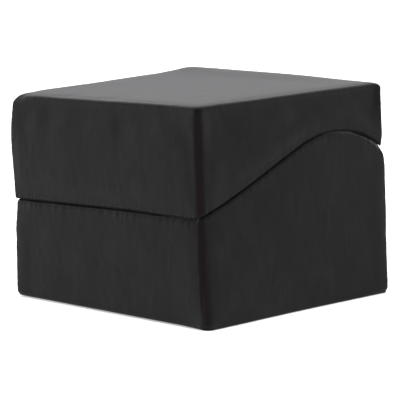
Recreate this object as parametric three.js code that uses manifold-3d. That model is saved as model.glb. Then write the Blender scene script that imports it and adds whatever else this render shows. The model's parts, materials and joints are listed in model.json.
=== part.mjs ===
// A storage ottoman: an upholstered box that an S-shaped line splits into a base with a lined
// well and a deep lid. A continuous hinge joins them at the back, and two slotted stays hold the
// open lid. Millimetres, +Z up, the front faces -Y, and the origin is the centre of the footprint
// on the floor.
import * as THREE from "three";
import { mergeVertices } from "three/addons/utils/BufferGeometryUtils.js";
import Module from "manifold-3d";

const wasm = await Module();
wasm.setup();

// ---- Driving dimensions ----
const WIDTH = 600;
const DEPTH = 520;
const CORNER_RADIUS = 22; // upright corners of the outer cover
const TOP_RADIUS = 18; // edge round the seat
const LID_SET_BACK = 2; // lid's rear face ahead of the base's, so that it clears the base when open

// The split line, seen from the right side: low at the front, a hump, then a fall to the hinge.
const FRONT_HEIGHT = 224; // split above the floor at the front right corner
const HUMP_RISE = 134; // crest of the hump above the split's front end
const LID_CREST_DEPTH = 87; // lid thickness over the crest
const CREST_FROM_REAR = 154; // crest to the rear face
const FRONT_SLOPE = 0.3; // rise per millimetre where the line starts
const FRONT_REACH = 234; // handle lengths of the curve's two halves
const CREST_FRONT_REACH = 50;
const CREST_REAR_REACH = 74;
const REAR_REACH = 25;
const REAR_DROP = 34; // crest down to the start of the straight rear run
const REAR_RUN = 20; // straight run in front of the rear face
const REAR_SLOPE = 0.46; // fall per millimetre along that run
const SHOULDER_RUN = 16; // rounded rear shoulder of the base
const SHOULDER_DROP = 36;
const FRONT_TILT = 15; // how much lower the split's front end is on the left side than on the right
const TILT_END_BEFORE_CREST = 46; // the tilt fades out this far in front of the crest
const SPLIT_GAP = 1.2; // between the closed lid's cover and the base's cover

// Materials' thicknesses, from the outside in.
const FIT = 0.3; // clearance between pieces that touch
const COVER = 2;
const FOAM = 10;
const BOARD = 15;
const LINING = 1.2;
const SEAT_FOAM = 40;
const TOP_BOARD = 12;
const FLOOR_BOARD = 9;
const WADDING = 4;
const BENT_PANEL = 4;
const RIM_FOAM = 6;
const DUST_COVER = 0.8;
const CLEAT = 24;
const COVER_LIP = 30; // cover turned down into the well
const COVER_HEM = 30; // cover turned under the base
const LID_HEM = 42; // cover turned under the lid

// Glides under the base.
const GLIDE_HEIGHT = 3;
const GLIDE_RADIUS = 14;
const GLIDE_INSET = 38;
const NAIL_RADIUS = 1.5;
const NAIL_LENGTH = 16;

// Continuous hinge.
const HINGE_FROM_REAR = 5;
const HINGE_END_MARGIN = 60;
const KNUCKLES = 11;
const KNUCKLE_RADIUS = 4.5;
const KNUCKLE_BORE = 3;
const KNUCKLE_GAP = 0.4;
const PIN_RADIUS = 2.5;
const LEAF_WIDTH = 26;
const LEAF_THICKNESS = 2;
const HINGE_SCREWS = 3; // in each leaf
const HINGE_SCREW_MARGIN = 45;
const HINGE_SCREW_REACH = 16.5; // pin line to screw line, along the leaf
const SCREW_RADIUS = 1.6;
const SCREW_HEAD_RADIUS = 3.4;
const SCREW_HEAD_DEPTH = 1.6;
const SCREW_LENGTH = 18;
const LONG_SCREW_LENGTH = 26; // through the lid's padded underside into a rib

// Slotted stays. Each arm turns on the lid and slides on a stud on the base. Both points lie on
// one circle about the hinge, so the arm turns by exactly half of the lid's angle.
const OPEN_ANGLE = THREE.MathUtils.degToRad(95);
const LID_PIVOT_ANGLE = THREE.MathUtils.degToRad(175); // from +Y, about the hinge, lid closed
const STUD_ANGLE = THREE.MathUtils.degToRad(215);
const STAY_FLOOR_CLEARANCE = 12;
const ARM_THICKNESS = 3;
const ARM_WIDTH = 24;
const STUD_RADIUS = 4;
const STUD_HEAD_RADIUS = 7;
const STUD_HEAD = 2;
const STUD_SHOULDER = 5.5; // keeps the arm off the well's side
const SLOT_CLEARANCE = 0.4; // round the stud and the rivet
const RIVET_RADIUS = 3;
const RIVET_HEAD_RADIUS = 6;
const RIVET_HEAD = 2;
const BRACKET_THICKNESS = 2.5;
const BRACKET_WIDTH = 42;
const BRACKET_SCREW_SPACING = 24;
const FLANGE_REACH = 36;
const STUD_PLATE_WIDTH = 30;
const STUD_PLATE_HEIGHT = 56;
const STUD_SCREW_SPACING = 40;

// ---- Worked out from them ----
const HEIGHT = FRONT_HEIGHT + HUMP_RISE + LID_CREST_DEPTH;
const FRONT_Y = -DEPTH / 2;
const REAR_Y = DEPTH / 2;
const REAR_START_Y = REAR_Y - REAR_RUN;
const CREST_Y = REAR_Y - CREST_FROM_REAR;
const CREST_Z = FRONT_HEIGHT + HUMP_RISE;
const TILT_END_Y = CREST_Y - TILT_END_BEFORE_CREST;
const REAR_START_Z = CREST_Z - REAR_DROP;
const HALF_GAP = SPLIT_GAP / 2;
const LID_REAR_Y = REAR_Y - LID_SET_BACK;
const BEYOND = 60; // how far cutting shapes run past the part
const PAST_REAR = 1; // how far the rounded shoulder's curve runs past the rear face
const BEYOND_SIDE = 5; // how far the split's cutting shapes run past the sides
const TILT_STEPS = 2; // strips across the width that the tilted split is made of

// Depths of the layers below the outer surface, on the walls.
const PAD_OUT = COVER + FIT;
const PAD_IN = PAD_OUT + FOAM;
const BOARD_OUT = PAD_IN + FIT;
const BOARD_IN = BOARD_OUT + BOARD;
const LINING_OUT = BOARD_IN + FIT;
const LINING_IN = LINING_OUT + LINING;
const LIP_IN = LINING_OUT + COVER;

// Depths of the layers on each side of the split line.
const UNDER_COVER = HALF_GAP + COVER + FIT;
const UNDER_RIM_FOAM = UNDER_COVER + RIM_FOAM + FIT;
const OVER_WADDING = UNDER_COVER + WADDING + FIT;
const OVER_PANEL = OVER_WADDING + BENT_PANEL + FIT;

// Heights at the bottom of the base and the top of the lid.
const DUST_COVER_Z = GLIDE_HEIGHT + FIT;
const BASE_BOTTOM = DUST_COVER_Z + DUST_COVER + FIT;
const FRAME_BOTTOM = BASE_BOTTOM + COVER + FIT;
const FLOOR_BOARD_Z = FRAME_BOTTOM + CLEAT + FIT;
const LINING_Z = FLOOR_BOARD_Z + FLOOR_BOARD + FIT;
const SEAT_FOAM_TOP = HEIGHT - COVER - FIT;
const SEAT_FOAM_Z = SEAT_FOAM_TOP - SEAT_FOAM;
const TOP_BOARD_TOP = SEAT_FOAM_Z - FIT;
const RIB_TOP = TOP_BOARD_TOP - TOP_BOARD - FIT;

// The hinge line and the tilt of its leaves, which lie along the split's straight rear run.
const HINGE_Y = REAR_Y - HINGE_FROM_REAR;
const HINGE_Z = REAR_START_Z - REAR_SLOPE * (HINGE_Y - REAR_START_Y);
const HINGE_TILT = Math.atan(REAR_SLOPE);
const HINGE_LENGTH = WIDTH - 2 * HINGE_END_MARGIN;

// The stays' circle: as large as the depth of the well lets the closed arm be.
const CLOSED_ANGLE = STUD_ANGLE - LID_PIVOT_ANGLE;
const UNIT_CLOSED = 2 * Math.sin(CLOSED_ANGLE / 2);
const UNIT_OPEN = 2 * Math.sin((CLOSED_ANGLE + OPEN_ANGLE) / 2);
const ARM_DIRECTION = onCircle(STUD_ANGLE).sub(onCircle(LID_PIVOT_ANGLE)).normalize();
const UNIT_TIP_DROP = -(onCircle(LID_PIVOT_ANGLE).y + ARM_DIRECTION.y * UNIT_OPEN);
const ARM_ROOM = HINGE_Z - LINING_Z - LINING - STAY_FLOOR_CLEARANCE - ARM_WIDTH / 2;
const STAY_RADIUS = ARM_ROOM / UNIT_TIP_DROP;
const LID_PIVOT = stayPoint(LID_PIVOT_ANGLE);
const STUD = stayPoint(STUD_ANGLE);

// Places of the right-hand stay's pieces across the width, from the well's side inwards.
const STUD_PLATE_OUT = WIDTH / 2 - LINING_IN - FIT;
const STUD_PLATE_IN = STUD_PLATE_OUT - BRACKET_THICKNESS;
const ARM_OUT = STUD_PLATE_IN - STUD_SHOULDER - FIT;
const ARM_IN = ARM_OUT - ARM_THICKNESS;
const EAR_IN = ARM_OUT + FIT;
const EAR_OUT = EAR_IN + BRACKET_THICKNESS;
const STAY_RIB_X = EAR_OUT - FLANGE_REACH / 2;
const FLANGE_TOP = HALF_GAP - FIT; // over the split line
const FLANGE_BOTTOM = FLANGE_TOP - BRACKET_THICKNESS;

// A point on the circle of radius 1 round the hinge line.
function onCircle(angle) {
  return new THREE.Vector2(Math.cos(angle), Math.sin(angle));
}

function stayPoint(angle) {
  return onCircle(angle).multiplyScalar(STAY_RADIUS).add(new THREE.Vector2(HINGE_Y, HINGE_Z));
}

// ---- Shapes ----

// Turns an outline's across, up and extrusion directions to Y, Z and X.
const SIDE_VIEW = new THREE.Matrix4().makeBasis(
  new THREE.Vector3(0, 1, 0),
  new THREE.Vector3(0, 0, 1),
  new THREE.Vector3(1, 0, 0),
);

// A closed mesh as a solid that can be cut and joined.
function solid(geometry) {
  const bare = geometry.index ? geometry.toNonIndexed() : geometry.clone();
  bare.deleteAttribute("normal");
  bare.deleteAttribute("uv");
  const merged = mergeVertices(bare, 1e-4);
  return new wasm.Manifold(new wasm.Mesh({
    numProp: 3,
    vertProperties: new Float32Array(merged.attributes.position.array),
    triVerts: new Uint32Array(merged.index.array),
  }));
}

// A cut or joined solid as three.js geometry.
function geometryOf(made) {
  const mesh = made.getMesh();
  const geometry = new THREE.BufferGeometry();
  geometry.setAttribute("position", new THREE.BufferAttribute(mesh.vertProperties, 3));
  geometry.setIndex(new THREE.BufferAttribute(mesh.triVerts, 1));
  geometry.computeVertexNormals();
  return geometry;
}

function box(x0, x1, y0, y1, z0, z1) {
  const geometry = new THREE.BoxGeometry(x1 - x0, y1 - y0, z1 - z0);
  return solid(geometry.translate((x0 + x1) / 2, (y0 + y1) / 2, (z0 + z1) / 2));
}

// A cylinder or cone along Z, from z0 with radius r0 to z1 with radius r1.
function cylinder(r0, r1, z0, z1, sides = 16) {
  const upright = z1 > z0;
  const geometry = new THREE.CylinderGeometry(upright ? r1 : r0, upright ? r0 : r1, Math.abs(z1 - z0), sides);
  return solid(geometry.rotateX(Math.PI / 2).translate(0, 0, (z0 + z1) / 2));
}

// The same along X.
function cylinderX(radius, x0, x1, sides = 16) {
  const geometry = new THREE.CylinderGeometry(radius, radius, x1 - x0, sides);
  return solid(geometry.rotateZ(Math.PI / 2).translate((x0 + x1) / 2, 0, 0));
}

// An outline in the side view (Y across, Z up) run along X.
function sideExtrusion(points, x0, x1, steps = 1) {
  const geometry = new THREE.ExtrudeGeometry(new THREE.Shape(points), {
    depth: x1 - x0,
    steps,
    bevelEnabled: false,
  });
  return geometry.applyMatrix4(SIDE_VIEW).translate(x0, 0, 0);
}

function sidePrism(points, x0, x1) {
  return solid(sideExtrusion(points, x0, x1));
}

// The same across the whole part, lowered towards the front left by the split's tilt.
function tiltedPrism(points) {
  const reach = WIDTH / 2 + BEYOND_SIDE;
  const geometry = sideExtrusion(points, -reach, reach, TILT_STEPS);
  const at = geometry.attributes.position;
  for (let i = 0; i < at.count; i++) {
    const z = at.getZ(i);
    const onLine = z > 0 && z < HEIGHT;
    const share = THREE.MathUtils.clamp((TILT_END_Y - at.getY(i)) / (TILT_END_Y - FRONT_Y), 0, 1);
    at.setZ(i, onLine ? z - FRONT_TILT * share * (0.5 - at.getX(i) / WIDTH) : z);
  }
  return solid(geometry);
}

function roundedRectangle(width, depth, radius) {
  const x = width / 2;
  const y = depth / 2;
  const shape = new THREE.Shape();
  shape.moveTo(-x + radius, -y);
  shape.lineTo(x - radius, -y);
  shape.absarc(x - radius, -y + radius, radius, -Math.PI / 2, 0);
  shape.lineTo(x, y - radius);
  shape.absarc(x - radius, y - radius, radius, 0, Math.PI / 2);
  shape.lineTo(-x + radius, y);
  shape.absarc(-x + radius, y - radius, radius, Math.PI / 2, Math.PI);
  shape.lineTo(-x, -y + radius);
  shape.absarc(-x + radius, -y + radius, radius, Math.PI, 1.5 * Math.PI);
  return shape;
}

// The plan of the base or lid, shrunk by a depth below the outer surface, from z0 to z1.
function extrudedPlan(depth, depthIn, z0, z1) {
  const radius = Math.max(CORNER_RADIUS - depthIn, 1);
  const shape = roundedRectangle(WIDTH - 2 * depthIn, depth - 2 * depthIn, radius);
  const geometry = new THREE.ExtrudeGeometry(shape, {
    depth: z1 - z0,
    bevelEnabled: false,
    curveSegments: 3,
  });
  return solid(geometry.translate(0, (depth - DEPTH) / 2, z0));
}

function plan(depthIn, z0 = -BEYOND, z1 = HEIGHT + BEYOND) {
  return extrudedPlan(DEPTH, depthIn, z0, z1);
}

function lidPlan(depthIn, z0 = -BEYOND, z1 = HEIGHT + BEYOND) {
  return extrudedPlan(DEPTH - LID_SET_BACK, depthIn, z0, z1);
}

// The lid's outer form with its rounded top edge, shrunk by a depth.
function lidForm(depthIn) {
  const radius = TOP_RADIUS - depthIn;
  const depth = DEPTH - LID_SET_BACK - 2 * depthIn;
  const shape = roundedRectangle(WIDTH - 2 * depthIn, depth, CORNER_RADIUS - depthIn);
  const geometry = new THREE.ExtrudeGeometry(shape, {
    depth: HEIGHT - depthIn - 2 * radius + BEYOND,
    bevelThickness: radius,
    bevelSize: radius,
    bevelOffset: -radius,
    bevelSegments: 3,
    curveSegments: 3,
  });
  return solid(geometry.translate(0, -LID_SET_BACK / 2, radius - BEYOND));
}

// The split line, front to back, as points with their upward normals.
function splitLine(withShoulder) {
  const path = new THREE.Path();
  path.moveTo(FRONT_Y, FRONT_HEIGHT);
  path.bezierCurveTo(
    FRONT_Y + FRONT_REACH, FRONT_HEIGHT + FRONT_SLOPE * FRONT_REACH,
    CREST_Y - CREST_FRONT_REACH, CREST_Z,
    CREST_Y, CREST_Z,
  );
  path.bezierCurveTo(
    CREST_Y + CREST_REAR_REACH, CREST_Z,
    REAR_START_Y - REAR_REACH, REAR_START_Z + REAR_SLOPE * REAR_REACH,
    REAR_START_Y, REAR_START_Z,
  );
  if (withShoulder) {
    const y = REAR_Y - SHOULDER_RUN;
    const z = REAR_START_Z - REAR_SLOPE * (y - REAR_START_Y);
    path.lineTo(y, z);
    const end = REAR_Y + PAST_REAR;
    path.quadraticCurveTo(end, z - REAR_SLOPE * (end - y), end, z - SHOULDER_DROP);
  } else {
    path.lineTo(REAR_Y + BEYOND, REAR_START_Z - REAR_SLOPE * (REAR_RUN + BEYOND));
  }
  const points = [];
  for (const curve of path.curves) {
    const steps = curve.isLineCurve ? 1 : curve.isQuadraticBezierCurve ? 4 : 11;
    for (let i = points.length ? 1 : 0; i <= steps; i++) {
      const tangent = curve.getTangent(i / steps);
      points.push({ at: curve.getPoint(i / steps), normal: new THREE.Vector2(-tangent.y, tangent.x) });
    }
  }
  return points;
}

const LID_LINE = splitLine(false);
const BASE_LINE = splitLine(true);

// Height of the split line at a depth.
function splitHeight(y) {
  const next = LID_LINE.findIndex((p) => p.at.x >= y);
  const a = LID_LINE[next - 1].at;
  const b = LID_LINE[next].at;
  return a.y + (b.y - a.y) * (y - a.x) / (b.x - a.x);
}

function shifted(line, offset, drop) {
  return line.map((p) => p.at.clone().addScaledVector(p.normal, offset).sub(new THREE.Vector2(0, drop)));
}

// Everything under the base's side of the split, less a layer below it, lowered by a drop.
function underSplit(depthIn, drop = 0) {
  const top = shifted(BASE_LINE, -depthIn, drop);
  const front = FRONT_Y - BEYOND;
  const last = top[top.length - 1];
  return tiltedPrism([
    new THREE.Vector2(front, -BEYOND),
    new THREE.Vector2(last.x, -BEYOND),
    ...top.reverse(),
    new THREE.Vector2(front, top[top.length - 1].y),
  ]);
}

// Everything over the lid's side of the split, less a layer above it.
function overSplit(depthIn) {
  const bottom = shifted(LID_LINE, depthIn, 0);
  const front = FRONT_Y - BEYOND;
  const last = bottom[bottom.length - 1];
  return tiltedPrism([
    new THREE.Vector2(front, bottom[0].y),
    ...bottom,
    new THREE.Vector2(last.x, HEIGHT + BEYOND),
    new THREE.Vector2(front, HEIGHT + BEYOND),
  ]);
}

function above(z) {
  return box(-WIDTH, WIDTH, -DEPTH, DEPTH, z, HEIGHT + BEYOND);
}

function below(z) {
  return box(-WIDTH, WIDTH, -DEPTH, DEPTH, -2 * BEYOND, z);
}

// ---- Materials ----
function material(color, roughness, metalness = 0) {
  return new THREE.MeshStandardMaterial({ color, roughness, metalness });
}

const BLACK_VELVET = material(0x2b2b2d, 0.9);
const BLACK_LINING = material(0x1c1c1e, 0.95);
const FOAM_GREY = material(0xcfc9b8, 1);
const PLYWOOD = material(0xc79b68, 0.7);
const STEEL = material(0xb4b4b2, 0.35, 1);
const NYLON = material(0x1a1a1a, 0.5);

const ottoman = new THREE.Group();
const base = new THREE.Group();
const lid = new THREE.Group();
ottoman.add(base, lid);

function addPiece(group, name, shape, look) {
  const mesh = new THREE.Mesh(shape.isBufferGeometry ? shape : geometryOf(shape), look);
  mesh.name = name;
  group.add(mesh);
  return mesh;
}

// ---- Cutters shared by the layers that the hinge passes through ----

// Places a solid made about the hinge line, with the leaves along -Y.
function atHinge(shape) {
  return shape.rotate([-THREE.MathUtils.radToDeg(HINGE_TILT), 0, 0]).translate([0, HINGE_Y, HINGE_Z]);
}

function hingeScrewPlaces() {
  const first = -HINGE_LENGTH / 2 + HINGE_SCREW_MARGIN;
  const step = -2 * first / (HINGE_SCREWS - 1);
  return Array.from({ length: HINGE_SCREWS }, (_, i) => first + i * step);
}

// The right-hand stay's screws. Each has a place, and a turn from pointing down.
function studPlateScrews() {
  return [-1, 1].map((side) => ({
    place: [STUD_PLATE_IN - FIT, STUD.x, STUD.y + side * STUD_SCREW_SPACING / 2],
    turn: [0, -90, 0],
  }));
}

function stayBracketScrews() {
  return [-1, 1].map((side) => {
    const y = LID_PIVOT.x + side * BRACKET_SCREW_SPACING / 2;
    return { place: [STAY_RIB_X, y, splitHeight(y) + FLANGE_BOTTOM - FIT], turn: [180, 0, 0] };
  });
}

// Holes for screws of a length: straight, with a countersink that the head sinks into.
function screwHoles(screws, length) {
  const narrow = SCREW_RADIUS + FIT;
  const wide = SCREW_HEAD_RADIUS + FIT;
  const hole = cylinder(narrow, narrow, -length - 1, 1, 12)
    .add(cylinder(narrow, wide, -SCREW_HEAD_DEPTH - FIT, 0, 12))
    .add(cylinder(wide, wide, -0.01, 2, 12));
  return screws.map((s) => hole.rotate(s.turn).translate(s.place)).reduce((all, one) => all.add(one));
}

// The pocket for both leaves and the barrel, and the screws' pilot holes on one side of it.
function hingePocket(side) {
  const half = HINGE_LENGTH / 2 + 1;
  const reach = LEAF_WIDTH + 1;
  const thick = LEAF_THICKNESS + 0.5;
  let pocket = box(-half, half, -reach, 1, -thick, thick).add(cylinderX(KNUCKLE_RADIUS + 0.6, -half, half));
  const hole = cylinder(SCREW_RADIUS + FIT, SCREW_RADIUS + FIT, 0, side * (SCREW_LENGTH + 1), 12);
  for (const x of hingeScrewPlaces()) {
    pocket = pocket.add(hole.translate([x, -HINGE_SCREW_REACH, 0]));
  }
  return atHinge(pocket);
}

// ---- Base ----
function buildBase() {
  const pocket = hingePocket(-1);
  const frame = plan(BOARD_OUT).intersect(above(FRAME_BOTTOM));
  const underRim = underSplit(UNDER_RIM_FOAM);
  const sideX = WIDTH / 2 - BOARD_IN;
  const frontY = FRONT_Y + BOARD_IN;
  const rearY = REAR_Y - BOARD_IN;

  // Four plywood walls. The side walls run the full depth, the others fit between them.
  const studHoles = screwHoles(studPlateScrews(), SCREW_LENGTH);
  const rightWall = frame.intersect(box(sideX, WIDTH, -DEPTH, DEPTH, -BEYOND, HEIGHT)).subtract(studHoles);
  addPiece(base, "base_right_board", rightWall.intersect(underRim), PLYWOOD);
  addPiece(base, "base_left_board", rightWall.mirror([1, 0, 0]).intersect(underRim), PLYWOOD);
  const between = box(-sideX + FIT, sideX - FIT, -DEPTH, DEPTH, -BEYOND, HEIGHT);
  addPiece(base, "base_front_board",
    frame.intersect(between).intersect(underRim)
      .intersect(box(-WIDTH, WIDTH, -DEPTH, frontY, -BEYOND, HEIGHT)), PLYWOOD);
  const rearWall = frame.intersect(between).intersect(box(-WIDTH, WIDTH, rearY, DEPTH, -BEYOND, HEIGHT));
  addPiece(base, "base_rear_board", rearWall.intersect(underSplit(UNDER_COVER)).subtract(pocket), PLYWOOD);

  // Cleats carry the well's floor board, and take the glides' nails.
  const inside = WIDTH / 2 - LINING_OUT;
  const insideY = DEPTH / 2 - LINING_OUT;
  const nail = cylinder(NAIL_RADIUS + FIT, NAIL_RADIUS + FIT, 0, GLIDE_HEIGHT + NAIL_LENGTH + 1, 10);
  const glideX = inside - CLEAT / 2;
  const glideY = DEPTH / 2 - GLIDE_INSET;
  const nails = [[-1, -1], [1, -1], [-1, 1], [1, 1]]
    .map(([x, y]) => nail.translate([x * glideX, y * glideY, 0]))
    .reduce((all, one) => all.add(one));
  const cleat = box(-inside, -inside + CLEAT, -insideY, insideY, FRAME_BOTTOM, FRAME_BOTTOM + CLEAT)
    .subtract(nails);
  addPiece(base, "floor_cleat_left", cleat, PLYWOOD);
  addPiece(base, "floor_cleat_right", cleat.mirror([1, 0, 0]), PLYWOOD);
  addPiece(base, "storage_floor_board",
    box(-inside, inside, -insideY, insideY, FLOOR_BOARD_Z, FLOOR_BOARD_Z + FLOOR_BOARD), PLYWOOD);

  // Foam on the outside of each wall, and over the rim of the front and sides.
  const wallFoam = plan(PAD_OUT).subtract(plan(PAD_IN)).intersect(above(FRAME_BOTTOM));
  const padFrontY = FRONT_Y + PAD_IN;
  const padRearY = REAR_Y - PAD_IN;
  addPiece(base, "base_front_foam",
    wallFoam.intersect(box(-WIDTH, WIDTH, -DEPTH, padFrontY, -BEYOND, HEIGHT)).intersect(underRim), FOAM_GREY);
  addPiece(base, "base_rear_foam",
    wallFoam.intersect(box(-WIDTH, WIDTH, padRearY, DEPTH, -BEYOND, HEIGHT))
      .intersect(underSplit(UNDER_COVER)).subtract(pocket), FOAM_GREY);
  const sideFoam = wallFoam
    .intersect(box(-WIDTH, -WIDTH / 2 + PAD_IN + CORNER_RADIUS, padFrontY + FIT, padRearY - FIT, -BEYOND, HEIGHT));
  addPiece(base, "base_left_foam", sideFoam.intersect(underRim), FOAM_GREY);
  addPiece(base, "base_right_foam", sideFoam.mirror([1, 0, 0]).intersect(underRim), FOAM_GREY);
  const rimFoam = plan(PAD_OUT).subtract(plan(BOARD_IN))
    .intersect(underSplit(UNDER_COVER))
    .subtract(underSplit(UNDER_RIM_FOAM - FIT))
    .intersect(box(-WIDTH, WIDTH, -DEPTH, rearY - FIT, -BEYOND, HEIGHT));
  addPiece(base, "base_rim_foam", rimFoam, FOAM_GREY);

  // The cover: outside, over the rim, down into the well by a lip, and hemmed under the base.
  const skin = plan(0).subtract(plan(Math.max(LIP_IN, COVER_HEM)))
    .intersect(underSplit(HALF_GAP)).intersect(above(BASE_BOTTOM));
  const core = plan(COVER).subtract(plan(LINING_OUT))
    .intersect(underSplit(HALF_GAP + COVER)).intersect(above(BASE_BOTTOM + COVER));
  const belowLip = plan(LINING_OUT).intersect(underSplit(HALF_GAP, COVER_LIP)).intersect(above(BASE_BOTTOM + COVER));
  const pastLip = plan(LIP_IN).intersect(above(BASE_BOTTOM + COVER));
  addPiece(base, "base_cover", skin.subtract(core).subtract(belowLip).subtract(pastLip).subtract(pocket),
    BLACK_VELVET);

  // The lining: a bag of thin cloth on the well's floor and walls, under the cover's lip.
  const bag = plan(LINING_OUT).intersect(above(LINING_Z)).intersect(underSplit(HALF_GAP, COVER_LIP + FIT));
  addPiece(base, "storage_lining",
    bag.subtract(plan(LINING_IN).intersect(above(LINING_Z + LINING)))
      .subtract(studHoles).subtract(studHoles.mirror([1, 0, 0])), BLACK_LINING);

  // The dust cover under the base, and the nail-on glides below it.
  const dust = plan(COVER_HEM / 2, DUST_COVER_Z, DUST_COVER_Z + DUST_COVER);
  addPiece(base, "dust_cover", dust.subtract(nails), BLACK_LINING);
  const glide = geometryOf(
    cylinder(GLIDE_RADIUS - 1.5, GLIDE_RADIUS, 0, GLIDE_HEIGHT, 24)
      .add(cylinder(NAIL_RADIUS, NAIL_RADIUS, GLIDE_HEIGHT - 0.5, GLIDE_HEIGHT + NAIL_LENGTH, 12)));
  for (const [name, x, y] of [["front_left", -1, -1], ["front_right", 1, -1], ["rear_left", -1, 1], ["rear_right", 1, 1]]) {
    addPiece(base, "glide_" + name, glide, NYLON).position.set(x * glideX, y * glideY, 0);
  }
}

// ---- Lid ----
function buildLid() {
  const pocket = hingePocket(1);
  const boards = lidPlan(BOARD_OUT);
  const sideX = WIDTH / 2 - BOARD_IN;
  const frontY = FRONT_Y + BOARD_IN;
  const rearY = LID_REAR_Y - BOARD_IN;
  const ribTo = overSplit(OVER_PANEL);
  const ribSpace = boards.intersect(below(RIB_TOP));

  addPiece(lid, "lid_top_board", lidPlan(BOARD_OUT, TOP_BOARD_TOP - TOP_BOARD, TOP_BOARD_TOP), PLYWOOD);

  // Two side ribs, two rails between them and a rib over each stay, all cut to the split line.
  const sideRib = ribSpace.intersect(box(-WIDTH, -sideX, -DEPTH, DEPTH, -BEYOND, HEIGHT)).subtract(pocket);
  addPiece(lid, "lid_left_rib", sideRib.intersect(ribTo), PLYWOOD);
  addPiece(lid, "lid_right_rib", sideRib.mirror([1, 0, 0]).intersect(ribTo), PLYWOOD);
  const between = box(-sideX + FIT, sideX - FIT, -DEPTH, DEPTH, -BEYOND, HEIGHT);
  const rails = ribSpace.intersect(between).intersect(ribTo);
  addPiece(lid, "lid_front_rail",
    rails.intersect(box(-WIDTH, WIDTH, -DEPTH, frontY, -BEYOND, HEIGHT)), PLYWOOD);
  addPiece(lid, "lid_rear_rail",
    rails.intersect(box(-WIDTH, WIDTH, rearY, DEPTH, -BEYOND, HEIGHT)).subtract(pocket), PLYWOOD);
  const rightHoles = screwHoles(stayBracketScrews(), LONG_SCREW_LENGTH);
  const screwPaths = rightHoles.add(rightHoles.mirror([1, 0, 0]));
  const stayRib = ribSpace
    .intersect(box(STAY_RIB_X - BOARD / 2, STAY_RIB_X + BOARD / 2, frontY + FIT, rearY - FIT, -BEYOND, HEIGHT))
    .subtract(rightHoles);
  addPiece(lid, "lid_stay_rib_right", stayRib.intersect(ribTo), PLYWOOD);
  addPiece(lid, "lid_stay_rib_left", stayRib.mirror([1, 0, 0]).intersect(ribTo), PLYWOOD);

  // The bent panel that closes the underside, with wadding below it.
  addPiece(lid, "lid_bent_panel",
    boards.intersect(overSplit(OVER_WADDING)).subtract(overSplit(OVER_PANEL - FIT))
      .subtract(pocket).subtract(screwPaths), PLYWOOD);
  addPiece(lid, "lid_wadding",
    boards.intersect(overSplit(UNDER_COVER)).subtract(overSplit(OVER_WADDING - FIT))
      .subtract(pocket).subtract(screwPaths), FOAM_GREY);

  // Foam: the seat, and a pad on each side of the lid below it.
  addPiece(lid, "seat_foam", lidForm(PAD_OUT).intersect(above(SEAT_FOAM_Z)), FOAM_GREY);
  const wallFoam = lidPlan(PAD_OUT).subtract(lidPlan(PAD_IN))
    .intersect(below(TOP_BOARD_TOP));
  const padTo = overSplit(UNDER_COVER);
  const padFrontY = FRONT_Y + PAD_IN;
  const padRearY = LID_REAR_Y - PAD_IN;
  addPiece(lid, "lid_front_foam",
    wallFoam.intersect(box(-WIDTH, WIDTH, -DEPTH, padFrontY, -BEYOND, HEIGHT)).intersect(padTo), FOAM_GREY);
  addPiece(lid, "lid_rear_foam",
    wallFoam.intersect(box(-WIDTH, WIDTH, padRearY, DEPTH, -BEYOND, HEIGHT)).intersect(padTo)
      .subtract(pocket), FOAM_GREY);
  const sideFoam = wallFoam.intersect(
    box(-WIDTH, -WIDTH / 2 + PAD_IN + CORNER_RADIUS, padFrontY + FIT, padRearY - FIT, -BEYOND, HEIGHT));
  addPiece(lid, "lid_left_foam", sideFoam.intersect(padTo), FOAM_GREY);
  addPiece(lid, "lid_right_foam", sideFoam.mirror([1, 0, 0]).intersect(padTo), FOAM_GREY);

  // The cover, hemmed under the lid, and the lining inside that hem.
  const hemmed = lidPlan(LID_HEM).subtract(overSplit(UNDER_COVER));
  addPiece(lid, "lid_cover",
    lidForm(0).intersect(overSplit(HALF_GAP))
      .subtract(lidForm(COVER).intersect(overSplit(HALF_GAP + COVER)))
      .subtract(hemmed).subtract(pocket), BLACK_VELVET);
  addPiece(lid, "lid_lining",
    lidPlan(LID_HEM + FIT).intersect(overSplit(UNDER_COVER - FIT - LINING))
      .subtract(overSplit(UNDER_COVER - FIT)).subtract(screwPaths), BLACK_LINING);
}

// ---- Hinge ----
function leafShape(side) {
  const half = HINGE_LENGTH / 2;
  const pitch = HINGE_LENGTH / KNUCKLES;
  const z0 = side > 0 ? 0.15 : -0.15 - LEAF_THICKNESS;
  const z1 = z0 + LEAF_THICKNESS;
  let leaf = box(-half, half, -LEAF_WIDTH, -KNUCKLE_RADIUS - KNUCKLE_GAP, z0, z1);
  for (let i = side > 0 ? 1 : 0; i < KNUCKLES; i += 2) {
    const x0 = -half + i * pitch + KNUCKLE_GAP / 2;
    const x1 = x0 + pitch - KNUCKLE_GAP;
    const tab = box(x0, x1, -KNUCKLE_RADIUS - 1, -KNUCKLE_BORE - 0.4, z0, z1);
    const bore = cylinderX(KNUCKLE_BORE, x0 - 1, x1 + 1, 12);
    leaf = leaf.add(tab).add(cylinderX(KNUCKLE_RADIUS, x0, x1, 12).subtract(bore));
  }
  const screws = hingeScrewPlaces().map((x) => ({
    place: [x, -HINGE_SCREW_REACH, side * (0.15 + FIT)],
    turn: [side > 0 ? 180 : 0, 0, 0],
  }));
  return leaf.subtract(screwHoles(screws, SCREW_LENGTH));
}

// A countersunk screw pointing down, with the top of its head at the origin.
function countersunkScrew(length) {
  const head = cylinder(SCREW_RADIUS, SCREW_HEAD_RADIUS, -SCREW_HEAD_DEPTH, 0, 12);
  return head.add(cylinder(SCREW_RADIUS * 0.6, SCREW_RADIUS, -length, -SCREW_HEAD_DEPTH + 0.2, 12));
}

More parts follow.
